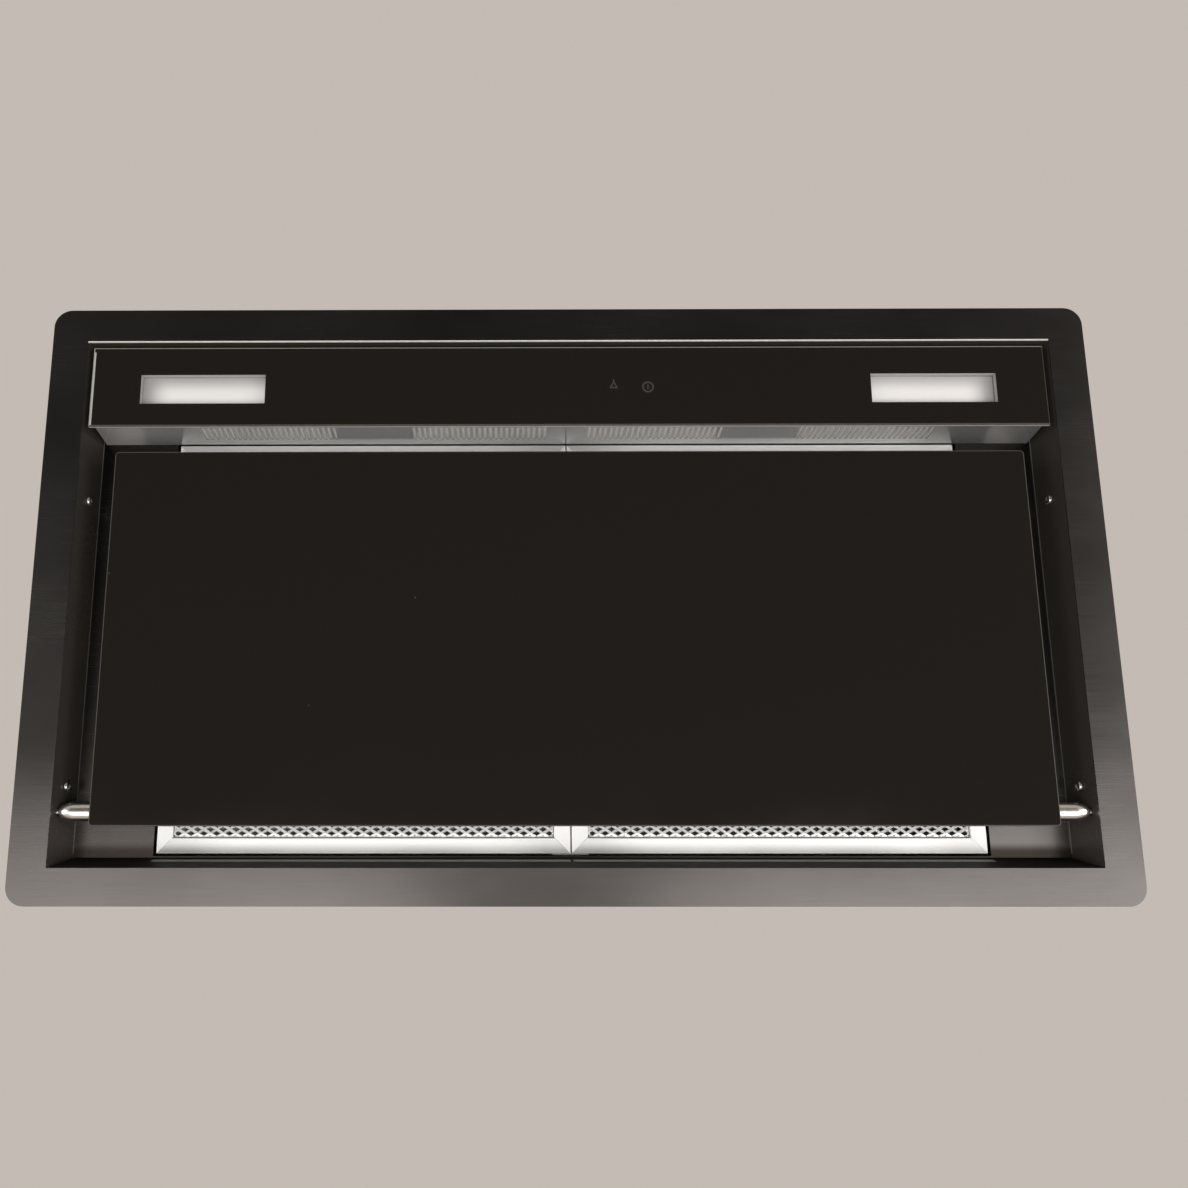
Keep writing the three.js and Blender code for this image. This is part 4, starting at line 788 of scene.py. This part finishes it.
def lean_face(bm):
    """Leans the bar's slotted face a little more, as in the photograph."""
    for vert in bm.verts:
        if vert.co.y > FACE_FOOT.y - FACE_BACK:
            vert.co.y += (vert.co.z - FACE_FOOT.z) * FACE_EXTRA_LEAN


def part_rear_wall(bm):
    """Gives the inside of the recess's rear wall the second material."""
    bm.normal_update()
    for face in bm.faces:
        centre = face.calc_center_median()
        inside = FILTER_REAR < centre.y < RECESS_HALF.y and ABOVE_RIM < centre.z < DECK_LEVEL
        face.material_index = int(inside and face.normal.y < FACES_FRONT)
    print("rear wall faces", sum(face.material_index for face in bm.faces))


for node_name in sorted(frame["nodes"]):
    names = [name for name in SOFT_EDGES if node_name.startswith(name)]
    if names:
        material = frame["nodes"][node_name].data.materials[0]
        bm = soften(solid_of(node_name), SOFT_EDGES[max(names, key=len)] * MM)
        if node_name == "control_housing":
            lean_face(bm)
        if node_name == "flange_tray":
            material = [material, REAR_WALL_STEEL]
            part_rear_wall(bm)
        keep(bm, f"{node_name}_rounded", node_name, material, [node_name])

# %% [markdown]
# The two glass plates
#
# The suction panel's glass has corners of 2.5 mm radius and a ground arris all round. Its block
# gets its upright edges rounded first and its long edges after, so the arris runs round the
# corners as on real glass. It reaches 1.2 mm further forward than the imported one, as in the
# photograph. The control bar's glass comes from its node, with its windows.

# %% Glass plates
PANEL_CORNER = 2.5 * MM
ARRIS = 0.8 * MM
PANEL_REACH = 1.2 * MM
UPRIGHT = 0.9
LEVEL = 0.99
# Where the bar's ground edge takes the darker edge finish as painted shade.
SHADED_REAR_ARRIS = 1 * MM
SHADED_RIGHT_END = 1.2 * MM
FACING = 0.5


def upright(edge):
    a, b = (vert.co for vert in edge.verts)
    return abs(a.z - b.z) > UPRIGHT * (a - b).length


def grind(bm):
    """Gives every face that is neither up nor down the second material, the ground edge."""
    bmesh.ops.recalc_face_normals(bm, faces=bm.faces)
    for face in bm.faces:
        face.material_index = int(abs(face.normal.z) < LEVEL)


def shaded_glass_edges(bm, high):
    """Gives the rear edge's lower arris and the whole right end the third material, the darker
    edge, as painted shade.
    """
    for face in bm.faces:
        centre = face.calc_center_median()
        arris = centre.y > high.y - SHADED_REAR_ARRIS and face.normal.z < -FACING
        if arris or (centre.x > high.x - SHADED_RIGHT_END and face.normal.x > FACING):
            face.material_index = 2


def panel_plate():
    low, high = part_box("panel_glass")
    low.y -= PANEL_REACH
    bm = block(low, high)
    soften(bm, PANEL_CORNER, 6, [edge for edge in bm.edges if upright(edge)])
    rims = [e for e in bm.edges if not upright(e) and e.calc_face_angle(0) > SHARP]
    soften(bm, ARRIS, 2, rims)
    grind(bm)
    return bm


panel_materials = [PANEL_GLASS, PANEL_EDGE]
keep(panel_plate(), "panel_glass_plate", "panel_glass", panel_materials, ["panel_glass"])
bar_plate = solid_of("control_glass")
grind(bar_plate)
# Painted shade: the rear lower arris and the right end take the darker edge.
shaded_glass_edges(bar_plate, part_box("control_glass")[1])
bar_materials = [BAR_GLASS, BAR_EDGE, PANEL_EDGE]
keep(bar_plate, "control_glass_plate", "control_glass", bar_materials, ["control_glass"])
print("glass plates made")

# %% [markdown]
# The slot liner
#
# The slots in the bar's face look paler than the face: a pale plate stands right behind them,
# and a faint painted glow on it stands in for light from the lamps in the bar. It leans with the
# face.

# %% Slot liner
FACE_LEAN = FACE_PACKED_LEAN + FACE_EXTRA_LEAN
FACE_SHEET = 1 * MM
LINER = 0.5 * MM
LINER_GAP = 0.3 * MM
LINER_HALF = 300 * MM
LINER_LOW, LINER_TOP = 5.8 * MM, 27 * MM


def slot_liner():
    back = FACE_FOOT.y - FACE_SHEET - LINER_GAP
    low, high = (-LINER_HALF, back - LINER, LINER_LOW), (LINER_HALF, back, LINER_TOP)
    bm = block(low, high, 0.1 * MM)
    for vert in bm.verts:
        vert.co.y += (vert.co.z - FACE_FOOT.z) * FACE_LEAN
    keep(bm, "slot_liner", "control_housing", LINER_FINISH)


slot_liner()
print("slot liner made")

# %% [markdown]
# Pivot pins
#
# A pin is turned from bright steel: a straight body, a bullet-shaped nose and a thin tip that
# enters the side wall. A profile spun in 64 steps keeps its highlight straight.

# %% Pivot pins
PIN_RADIUS = 6.0 * MM
PIN_NECK = 2.0 * MM
PIN_BODY = 19 * MM
PIN_TIP = 7 * MM
PIN_NOSE = 10 * MM
PIN_NOSE_PAST = 2 * MM
PIN_INNER_EDGE = 0.4 * MM
PIN_TIP_EDGE = 0.5 * MM
NOSE_STEPS = 10


def pivot_pin(side):
    low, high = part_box(f"pivot_pin_{side}")
    centre = (low + high) / 2
    inner, outer = (low.x, high.x) if side == "right" else (-high.x, -low.x)
    start = outer - PIN_TIP - PIN_BODY
    end = start + PIN_BODY
    nose = end + PIN_NOSE_PAST - PIN_NOSE
    arc = [
        (nose + PIN_NOSE * math.sin(a), PIN_RADIUS - (PIN_RADIUS - PIN_NECK) * (1 - math.cos(a)))
        for a in (math.pi / 2 * i / NOSE_STEPS for i in range(NOSE_STEPS + 1))
    ]
    profile = [
        (inner, 0), (inner, PIN_NECK), (start, PIN_NECK), (start, PIN_RADIUS - PIN_INNER_EDGE),
        (start + PIN_INNER_EDGE, PIN_RADIUS), *arc,
        (outer - PIN_TIP_EDGE, PIN_NECK), (outer, PIN_NECK - PIN_TIP_EDGE), (outer, 0),
    ]
    bm = spun(profile, (0, centre.y, centre.z))
    if side == "left":
        bmesh.ops.scale(bm, vec=(-1, 1, 1), verts=bm.verts)
        bmesh.ops.recalc_face_normals(bm, faces=bm.faces)
    keep(bm, f"pivot_pin_{side}_turned", f"pivot_pin_{side}", CHROME, [f"pivot_pin_{side}"])


for side in ("left", "right"):
    pivot_pin(side)
print("pivot pins made")

# %% [markdown]
# Mitred filter frames
#
# Each filter frame is four bars that meet in mitres. Four copies of the imported frame are
# each cut by two planes at 45 degrees through its corners, and the cuts are closed. The end
# bars are ground the other way from the long ones, so they shine differently, and their tone
# is a darker copy as painted shade. The long bars carry painted shade towards their edges and
# ends. The front edges reach 0.9 mm further forward than the imported ones, and the two
# frames stand closer together by 0.55 mm each.

# %% Filter frames
MITRE_GAP = 0.05 * MM
FRAME_ROUND = 0.6 * MM
FRAME_REACH = 0.9 * MM
FRAME_CLOSER = 0.55 * MM
MIDDLE_ZONE = 5 * MM


def frame_bar(node_name, corner, other, outward):
    """What lies between the mitre planes through two corners of a frame."""
    bm = soften(solid_of(node_name), FRAME_ROUND)
    for vert in bm.verts:
        if vert.co.y < 0:
            vert.co.y -= FRAME_REACH
        if abs(vert.co.x) < MIDDLE_ZONE:
            vert.co.x -= math.copysign(FRAME_CLOSER, vert.co.x)
    for here, there in ((corner, other), (other, corner)):
        normal = ((here - there).normalized() - outward).normalized()
        seam = cut(bm, here - normal * MITRE_GAP, normal, clear=True)
        rim = [item for item in seam if isinstance(item, bmesh.types.BMEdge)]
        bmesh.ops.edgeloop_fill(bm, edges=rim)
    bmesh.ops.recalc_face_normals(bm, faces=bm.faces)
    return bm


for side in ("left", "right"):
    node_name = f"filter_frame_{side}"
    low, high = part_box(node_name)
    low.y -= FRAME_REACH
    inner = high if side == "left" else low
    inner.x -= math.copysign(FRAME_CLOSER, inner.x)
    a, b = Vector((low.x, low.y, 0)), Vector((high.x, low.y, 0))
    c, d = Vector((high.x, high.y, 0)), Vector((low.x, high.y, 0))
    bars = {
        "front": (a, b, (0, -1, 0), CROSSBAR_ALUMINIUM),
        "rear": (c, d, (0, 1, 0), CROSSBAR_ALUMINIUM),
        "left": (a, d, (-1, 0, 0), ALUMINIUM),
        "right": (b, c, (1, 0, 0), ALUMINIUM),
    }
    for name, (corner, other, outward, material) in bars.items():
        bm = frame_bar(node_name, corner, other, Vector(outward))
        keep(bm, f"{node_name}_{name}_bar", node_name, material, [node_name])

# %% [markdown]
# Grease filter mesh
#
# Expanded metal is a sheet that is slit and pulled, so each strand between two holes stands
# on edge, all leaning one way. A grid turned by 45 degrees and stretched gives the diamonds.
# Each face is inset, its middle is taken out as the hole, and the hole's two tips are moved
# up and down, which tilts the strands. Solidify then gives them their thickness. A second
# sheet lies behind the first and leans the other way; its tone is painted darker as shade.

# %% Expanded metal
HOLE_PITCH = Vector((8.3, 5.2)) * MM
STRAND = 1.5 * MM
STRAND_LEAN = 1.2 * MM
STRAND_THICKNESS = 0.45 * MM
OUTER_SHEET = STRAND_LEAN + 0.1 * MM
INNER_SHEET = 4.4 * MM
INNER_SHIFT = (0.27, 0.08)
LATCH_ROOM = 0.6 * MM
LATCH_MARGIN = Vector((8 * MM + LATCH_ROOM, 11 * MM + LATCH_ROOM, 0))
EIGHTH_TURN = Matrix.Rotation(math.pi / 4, 3, "Z")


def expanded_sheet(low, high, z, lean, shift):
    """An expanded-metal sheet between two corners in plan, its holes shifted in pitches."""
    bm = bmesh.new()
    span = max((high.x - low.x) / HOLE_PITCH.x, (high.y - low.y) / HOLE_PITCH.y)
    count = 2 * math.ceil(span) + 2
    bmesh.ops.create_grid(bm, x_segments=count, y_segments=count, size=count / 2)
    bmesh.ops.rotate(bm, cent=(0, 0, 0), matrix=EIGHTH_TURN, verts=bm.verts)
    stretch = (HOLE_PITCH.x / math.sqrt(2), HOLE_PITCH.y / math.sqrt(2), 1)
    bmesh.ops.scale(bm, vec=stretch, verts=bm.verts)
    middle = (low + high) / 2
    spot = (middle.x + shift[0] * HOLE_PITCH.x, middle.y + shift[1] * HOLE_PITCH.y, z)
    bmesh.ops.translate(bm, vec=spot, verts=bm.verts)
    sides = ((low, (-1, 0, 0)), (low, (0, -1, 0)), (high, (1, 0, 0)), (high, (0, 1, 0)))
    for corner, normal in sides:
        cut(bm, corner, normal, clear=True)
    whole = list(bm.faces)
    bmesh.ops.inset_individual(bm, faces=whole, thickness=STRAND / 2, use_even_offset=True)
    for face in whole:
        centre = face.calc_center_median()
        reach = max(abs(v.co.y - centre.y) for v in face.verts)
        for vert in face.verts:
            vert.co.z += lean * (vert.co.y - centre.y) / reach
    bmesh.ops.delete(bm, geom=whole, context="FACES_ONLY")
    return bm


def cut_notch(bm, low, high):
    """Takes out what lies inside a box in plan, up to the sheet's front edge."""
    for corner, normal in ((low, (1, 0, 0)), (high, (1, 0, 0)), (high, (0, 1, 0))):
        cut(bm, corner, normal)
    inside = [
        face for face in bm.faces
        if low.x < face.calc_center_median().x < high.x and face.calc_center_median().y < high.y
    ]
    bmesh.ops.delete(bm, geom=inside, context="FACES")


def filter_pad(side):
    node_name = f"filter_mesh_{side}"
    low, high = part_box(node_name)
    latch_low, latch_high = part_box(f"filter_latch_{side}")
    layers = {
        "outer": (low.z + OUTER_SHEET, STRAND_LEAN, (0, 0), MESH_ALUMINIUM),
        "inner": (low.z + INNER_SHEET, -STRAND_LEAN, INNER_SHIFT, INNER_MESH),
    }
    for name, (z, lean, shift, material) in layers.items():
        bm = expanded_sheet(low, high, z, lean, shift)
        cut_notch(bm, latch_low - LATCH_MARGIN, latch_high + LATCH_MARGIN)
        sheet = keep(bm, f"filter_{name}_mesh_{side}", node_name, material, [node_name])
        wall = sheet.modifiers.new("strand", "SOLIDIFY")
        wall.thickness = STRAND_THICKNESS
        wall.offset = 0
        sheet.modifiers.move(len(sheet.modifiers) - 1, 0)


for side in ("left", "right"):
    filter_pad(side)

# %% [markdown]
# Screws
#
# A pan-head screw is a short cylinder with a rounded rim. Planes cut a cross into its flat
# top, and the faces inside the cross are pushed in: a real recess with few faces.

# %% Screws
def pan_head(radius, height):
    """A cross-recessed head on the XY plane, its top towards +Z."""
    bm = bmesh.new()
    bmesh.ops.create_cone(
        bm, cap_ends=True, segments=24, radius1=radius, radius2=radius, depth=height,
    )
    bmesh.ops.translate(bm, vec=(0, 0, height / 2), verts=bm.verts)
    rim = [e for e in bm.edges if all(v.co.z > height * 0.9 for v in e.verts)]
    soften(bm, height * 0.55, 3, rim)
    slot, reach = radius * 0.13, radius * 0.5
    for axis in ((1, 0, 0), (0, 1, 0)):
        for offset in (-reach, -slot, slot, reach):
            cut(bm, Vector(axis) * offset, axis)
    cross = []
    for face in bm.faces:
        spot = face.calc_center_median()
        near, far = sorted((abs(spot.x), abs(spot.y)))
        if spot.z > height * 0.95 and near < slot and far < reach:
            cross.append(face)
    sunk = bmesh.ops.extrude_face_region(bm, geom=cross)["geom"]
    bmesh.ops.delete(bm, geom=cross, context="FACES")
    sunk_verts = [item for item in sunk if isinstance(item, bmesh.types.BMVert)]
    bmesh.ops.translate(bm, vec=(0, 0, -height * 0.6), verts=sunk_verts)
    bmesh.ops.recalc_face_normals(bm, faces=bm.faces)
    return bm


def screw(size, point, direction):
    """A head of a size, (radius, height), that stands on a point and faces a direction."""
    head = pan_head(*size)
    turned = Vector(direction).to_track_quat("Z", "Y").to_matrix().to_4x4()
    place = Matrix.Translation(point) @ turned
    bmesh.ops.transform(head, matrix=place, verts=head.verts)
    return head


WALL_INSET, WALL_HEIGHT = 5.3, 30
WALL_LEAN = math.atan2(WALL_INSET, WALL_HEIGHT)
SCREW_HEAD = (2.9 * MM, 1.6 * MM)
SCREW_HEIGHT = 15 * MM
for end in ("front", "rear"):
    for side in ("left", "right"):
        node_name = f"clip_screw_{end}_{side}"
        low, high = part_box(node_name)
        inward = 1 if side == "left" else -1
        direction = Vector((inward * math.cos(WALL_LEAN), 0, -math.sin(WALL_LEAN)))
        middle = (low + high) / 2
        tip = Vector((high.x if side == "left" else low.x, middle.y, SCREW_HEIGHT))
        head = screw(SCREW_HEAD, tip - direction * SCREW_HEAD[1], direction)
        keep(head, f"{node_name}_head", node_name, CHROME)
print("clip screws made")

# %% [markdown]
# Fasteners, beads and seams of the casings
#
# The casings are folded sheet: rows of screws hold them, long pressed beads stiffen their wide
# faces, and their corners are closed by a lapped strip. A bead is a long block that is half
# sunk in the sheet, with edges rounded almost to its height. Places and boxes here are in
# millimetres.

# %% Casing screws
CASING_SCREW = (3.2 * MM, 1.8 * MM)
LIP_X, LIP_Y, LIP_TOP = 142, 132, 111.8
COLLAR_TOP = 267.7
COLLAR_SCREWS = 8
COLLAR_SCREW_CIRCLE = 82
COLLAR_Y = 37.5
TERMINAL_TOP = 147.4
DRIVER_TOP = 141.4
PLENUM_X, PLENUM_Y = 320, 169
FOOT_ROW = 38


def screws(name, like, spots, direction):
    heads = [screw(CASING_SCREW, Vector(spot) * MM, direction) for spot in spots]
    keep(gather(heads), name, like, ZINC)


lip = [(side * LIP_X, y, LIP_TOP) for side in (-1, 1) for y in (-105, -35, 35, 105)]
lip += [(x, side * LIP_Y, LIP_TOP) for side in (-1, 1) for x in (-110, -37, 37, 110)]
screws("casing_lip_screws", "motor_casing", lip, (0, 0, 1))
turns = [math.pi * (2 * i + 1) / COLLAR_SCREWS for i in range(COLLAR_SCREWS)]
rim = [
    (COLLAR_SCREW_CIRCLE * math.cos(a), COLLAR_Y + COLLAR_SCREW_CIRCLE * math.sin(a), COLLAR_TOP)
    for a in turns
]
screws("collar_screws", "exhaust_collar", rim, (0, 0, 1))
terminal = [(x, y, TERMINAL_TOP) for x in (-280, -200) for y in (-54, 54)]
screws("terminal_lid_screws", "terminal_box_lid", terminal, (0, 0, 1))
driver = [(x, y, DRIVER_TOP) for x in (208, 280) for y in (-64, 64)]
screws("driver_lid_screws", "driver_box_lid", driver, (0, 0, 1))
for name, side in (("left", -1), ("right", 1)):
    foot = [(side * PLENUM_X, y, FOOT_ROW) for y in (-140, -84, -28, 28, 84, 140)]
    screws(f"plenum_screws_{name}", "plenum_casing", foot, (side, 0, 0))
for name, side in (("front", -1), ("rear", 1)):
    foot = [(x, side * PLENUM_Y, FOOT_ROW) for x in (-285, -171, -57, 57, 171, 285)]
    screws(f"plenum_screws_{name}", "plenum_casing", foot, (0, side, 0))
print("casing screws made")

# %% Beads and lapped corners
BEAD = 1.4
BEAD_WIDTH = 8
BEAD_ROUND = BEAD * 0.92
PLENUM_ROOF = 110.4
PLENUM_ROW = 72
CASING_X, CASING_Y = 135, 125
CASING_ROWS = (150, 225)
LAP = 0.7
LAP_WIDTH = 13
LAP_ROUND = 0.25
PLENUM_LAP_Y, CASING_LAP_Y = 164, 120
PLENUM_LAP, CASING_LAP = (36, 106), (116, 261)


def pressed(name, like, boxes, radius):
    bars = [block(low * MM, high * MM, radius * MM, 3) for low, high in boxes]
    keep(gather(bars), name, like, GALVANISED)


def bead(centre, length, along, face):
    """A box round a point on a sheet, long in one direction and half sunk in its face."""
    half = [BEAD_WIDTH / 2] * 3
    half["XYZ".index(along)] = length / 2
    half["XYZ".index(face)] = BEAD
    return Vector(centre) - Vector(half), Vector(centre) + Vector(half)


def lap(x, y, low_z, high_z):
    """A strip on an end sheet, beside the corner that it closes."""
    inner = abs(y) - LAP_WIDTH
    ys = sorted((math.copysign(inner, y), y))
    xs = sorted((x, x + math.copysign(LAP, x)))
    return Vector((xs[0], ys[0], low_z)), Vector((xs[1], ys[1], high_z))


sides = (-1, 1)
roof_rows = (-128, -94, 94, 128)
plenum = [bead((s * 235, y, PLENUM_ROOF), 130, "X", "Z") for s in sides for y in roof_rows]
plenum += [bead((x, s * PLENUM_Y, PLENUM_ROW), 230, "X", "Y") for s in sides for x in (-165, 165)]
plenum += [bead((s * PLENUM_X, 0, PLENUM_ROW), 260, "Y", "X") for s in sides]
pressed("plenum_beads", "plenum_casing", plenum, BEAD_ROUND)
casing = [bead((0, s * CASING_Y, z), 200, "X", "Y") for s in sides for z in CASING_ROWS]
casing += [bead((s * CASING_X, 0, z), 180, "Y", "X") for s in sides for z in CASING_ROWS]
pressed("casing_beads", "motor_casing", casing, BEAD_ROUND)

corners = [(sx, sy) for sx in sides for sy in sides]
plenum = [lap(sx * PLENUM_X, sy * PLENUM_LAP_Y, *PLENUM_LAP) for sx, sy in corners]
pressed("plenum_laps", "plenum_casing", plenum, LAP_ROUND)
casing = [lap(sx * CASING_X, sy * CASING_LAP_Y, *CASING_LAP) for sx, sy in corners]
pressed("casing_laps", "motor_casing", casing, LAP_ROUND)

# %% [markdown]
# The studio
#
# The hood is seen against a plain pale backdrop, which is the colour of the world for camera
# rays and reflections. The floor lies below the camera. Steel shows the room, so the room is
# set out for it: a wide soft light behind and below the hood, which the rear of the flange
# mirrors, a dark card below its front, which leaves the front nearly black, and a small pale
# card before the light, which only mirrors show: it takes the flare off the middle of the
# rear. The camera doesn't see the cards.

# %% World and floor
BACKDROP = (0.55, 0.50, 0.455)
AMBIENT = (0.62, 0.61, 0.60)
FLOOR = ((-6, -6), (6, 6), -1.65)
DARK_CARD = ((-1.25, -1.2), (1.25, 0.16), -1.2)
PALE_CARD = ((-0.16, 0.16), (0.2, 0.6), -1.19)
FLOOR_TONE = (0.66, 0.62, 0.58)
DARK_CARD_TONE = (0.055, 0.052, 0.05)
PALE_CARD_TONE = (0.7, 0.66, 0.64)


def set_world():
    world = bpy.data.worlds.new("studio")
    scene.world = world
    world.use_nodes = True
    tree = world.node_tree
    rays = tree.nodes.new("ShaderNodeLightPath")
    seen = rays.outputs["Is Camera Ray"]
    for name in ("Is Glossy Ray", "Is Transmission Ray"):
        either = tree.nodes.new("ShaderNodeMath")
        either.operation = "MAXIMUM"
        tree.links.new(seen, either.inputs[0])
        tree.links.new(rays.outputs[name], either.inputs[1])
        seen = either.outputs[0]
    colour = tree.nodes.new("ShaderNodeMix")
    colour.data_type = "RGBA"
    for index, tone in zip(MIX_COLOURS, (AMBIENT, BACKDROP)):
        colour.inputs[index].default_value = (*tone, 1)
    tree.links.new(seen, colour.inputs[MIX_FACTOR])
    tree.links.new(colour.outputs[MIX_RESULT], tree.nodes["Background"].inputs[0])


def stage_plane(name, low, high, z, tone, roughness):
    """A painted level plane between two corners, which belongs to the studio."""
    bm = bmesh.new()
    bmesh.ops.create_grid(bm, x_segments=1, y_segments=1, size=0.5)
    low, high = Vector((*low, z)), Vector((*high, z))
    bmesh.ops.scale(bm, vec=high - low + Vector((0, 0, 1)), verts=bm.verts)
    bmesh.ops.translate(bm, vec=(low + high) / 2, verts=bm.verts)
    plane = to_object(bm, name)
    finish = Finish(f"{name}_paint")
    grain = finish.noise(3.0, detail=2.0)
    finish.feed("Base Color", finish.mix(grain, tuple(0.97 * v for v in tone), tone))
    finish.shader.inputs["Roughness"].default_value = roughness
    plane.data.materials.append(finish.material)
    return plane


set_world()
stage_plane("floor", *FLOOR, FLOOR_TONE, 0.8)
dark_card = stage_plane("dark_card", *DARK_CARD, DARK_CARD_TONE, 0.9)
dark_card.visible_camera = False
pale_card = stage_plane("grey_card", *PALE_CARD, PALE_CARD_TONE, 0.9)
pale_card.visible_camera = False
pale_card.visible_diffuse = False
pale_card.visible_shadow = False
print("floor at", FLOOR[2])

# %% Lamps
LAMP_TONE = (1.0, 0.985, 0.965)


def soft_light(name, place, size, power, aim=(0, 0, 0), mirrored=True):
    """A soft box of a size in metres and a power in watts, turned towards a point."""
    lamp = bpy.data.lights.new(name, "AREA")
    lamp.shape = "RECTANGLE"
    lamp.size, lamp.size_y = size
    lamp.energy = power
    lamp.color = LAMP_TONE
    light = bpy.data.objects.new(name, lamp)
    scene.collection.objects.link(light)
    light.location = place
    away = Vector(place) - Vector(aim)
    light.rotation_euler = away.to_track_quat("Z", "Y").to_euler()
    light.visible_camera = False
    light.visible_glossy = mirrored


soft_light("rear_soft_light", (0.3, 0.86, -1.45), (2.8, 1.3), 26, aim=(0.3, 0.86, 0))
soft_light("left_strip_light", (-1.75, 0.15, -1.1), (1.2, 0.8), 11)
soft_light("right_strip_light", (1.75, 0.15, -1.1), (1.2, 0.8), 19)
soft_light("upper_left_light", (-1.5, -1.6, 1.9), (1.6, 1.6), 30)
soft_light("upper_right_light", (1.8, 1.2, 1.7), (1.6, 1.6), 22)
soft_light("fill_light", (0, 0.35, -1.0), (0.9, 0.6), 4.5, mirrored=False)
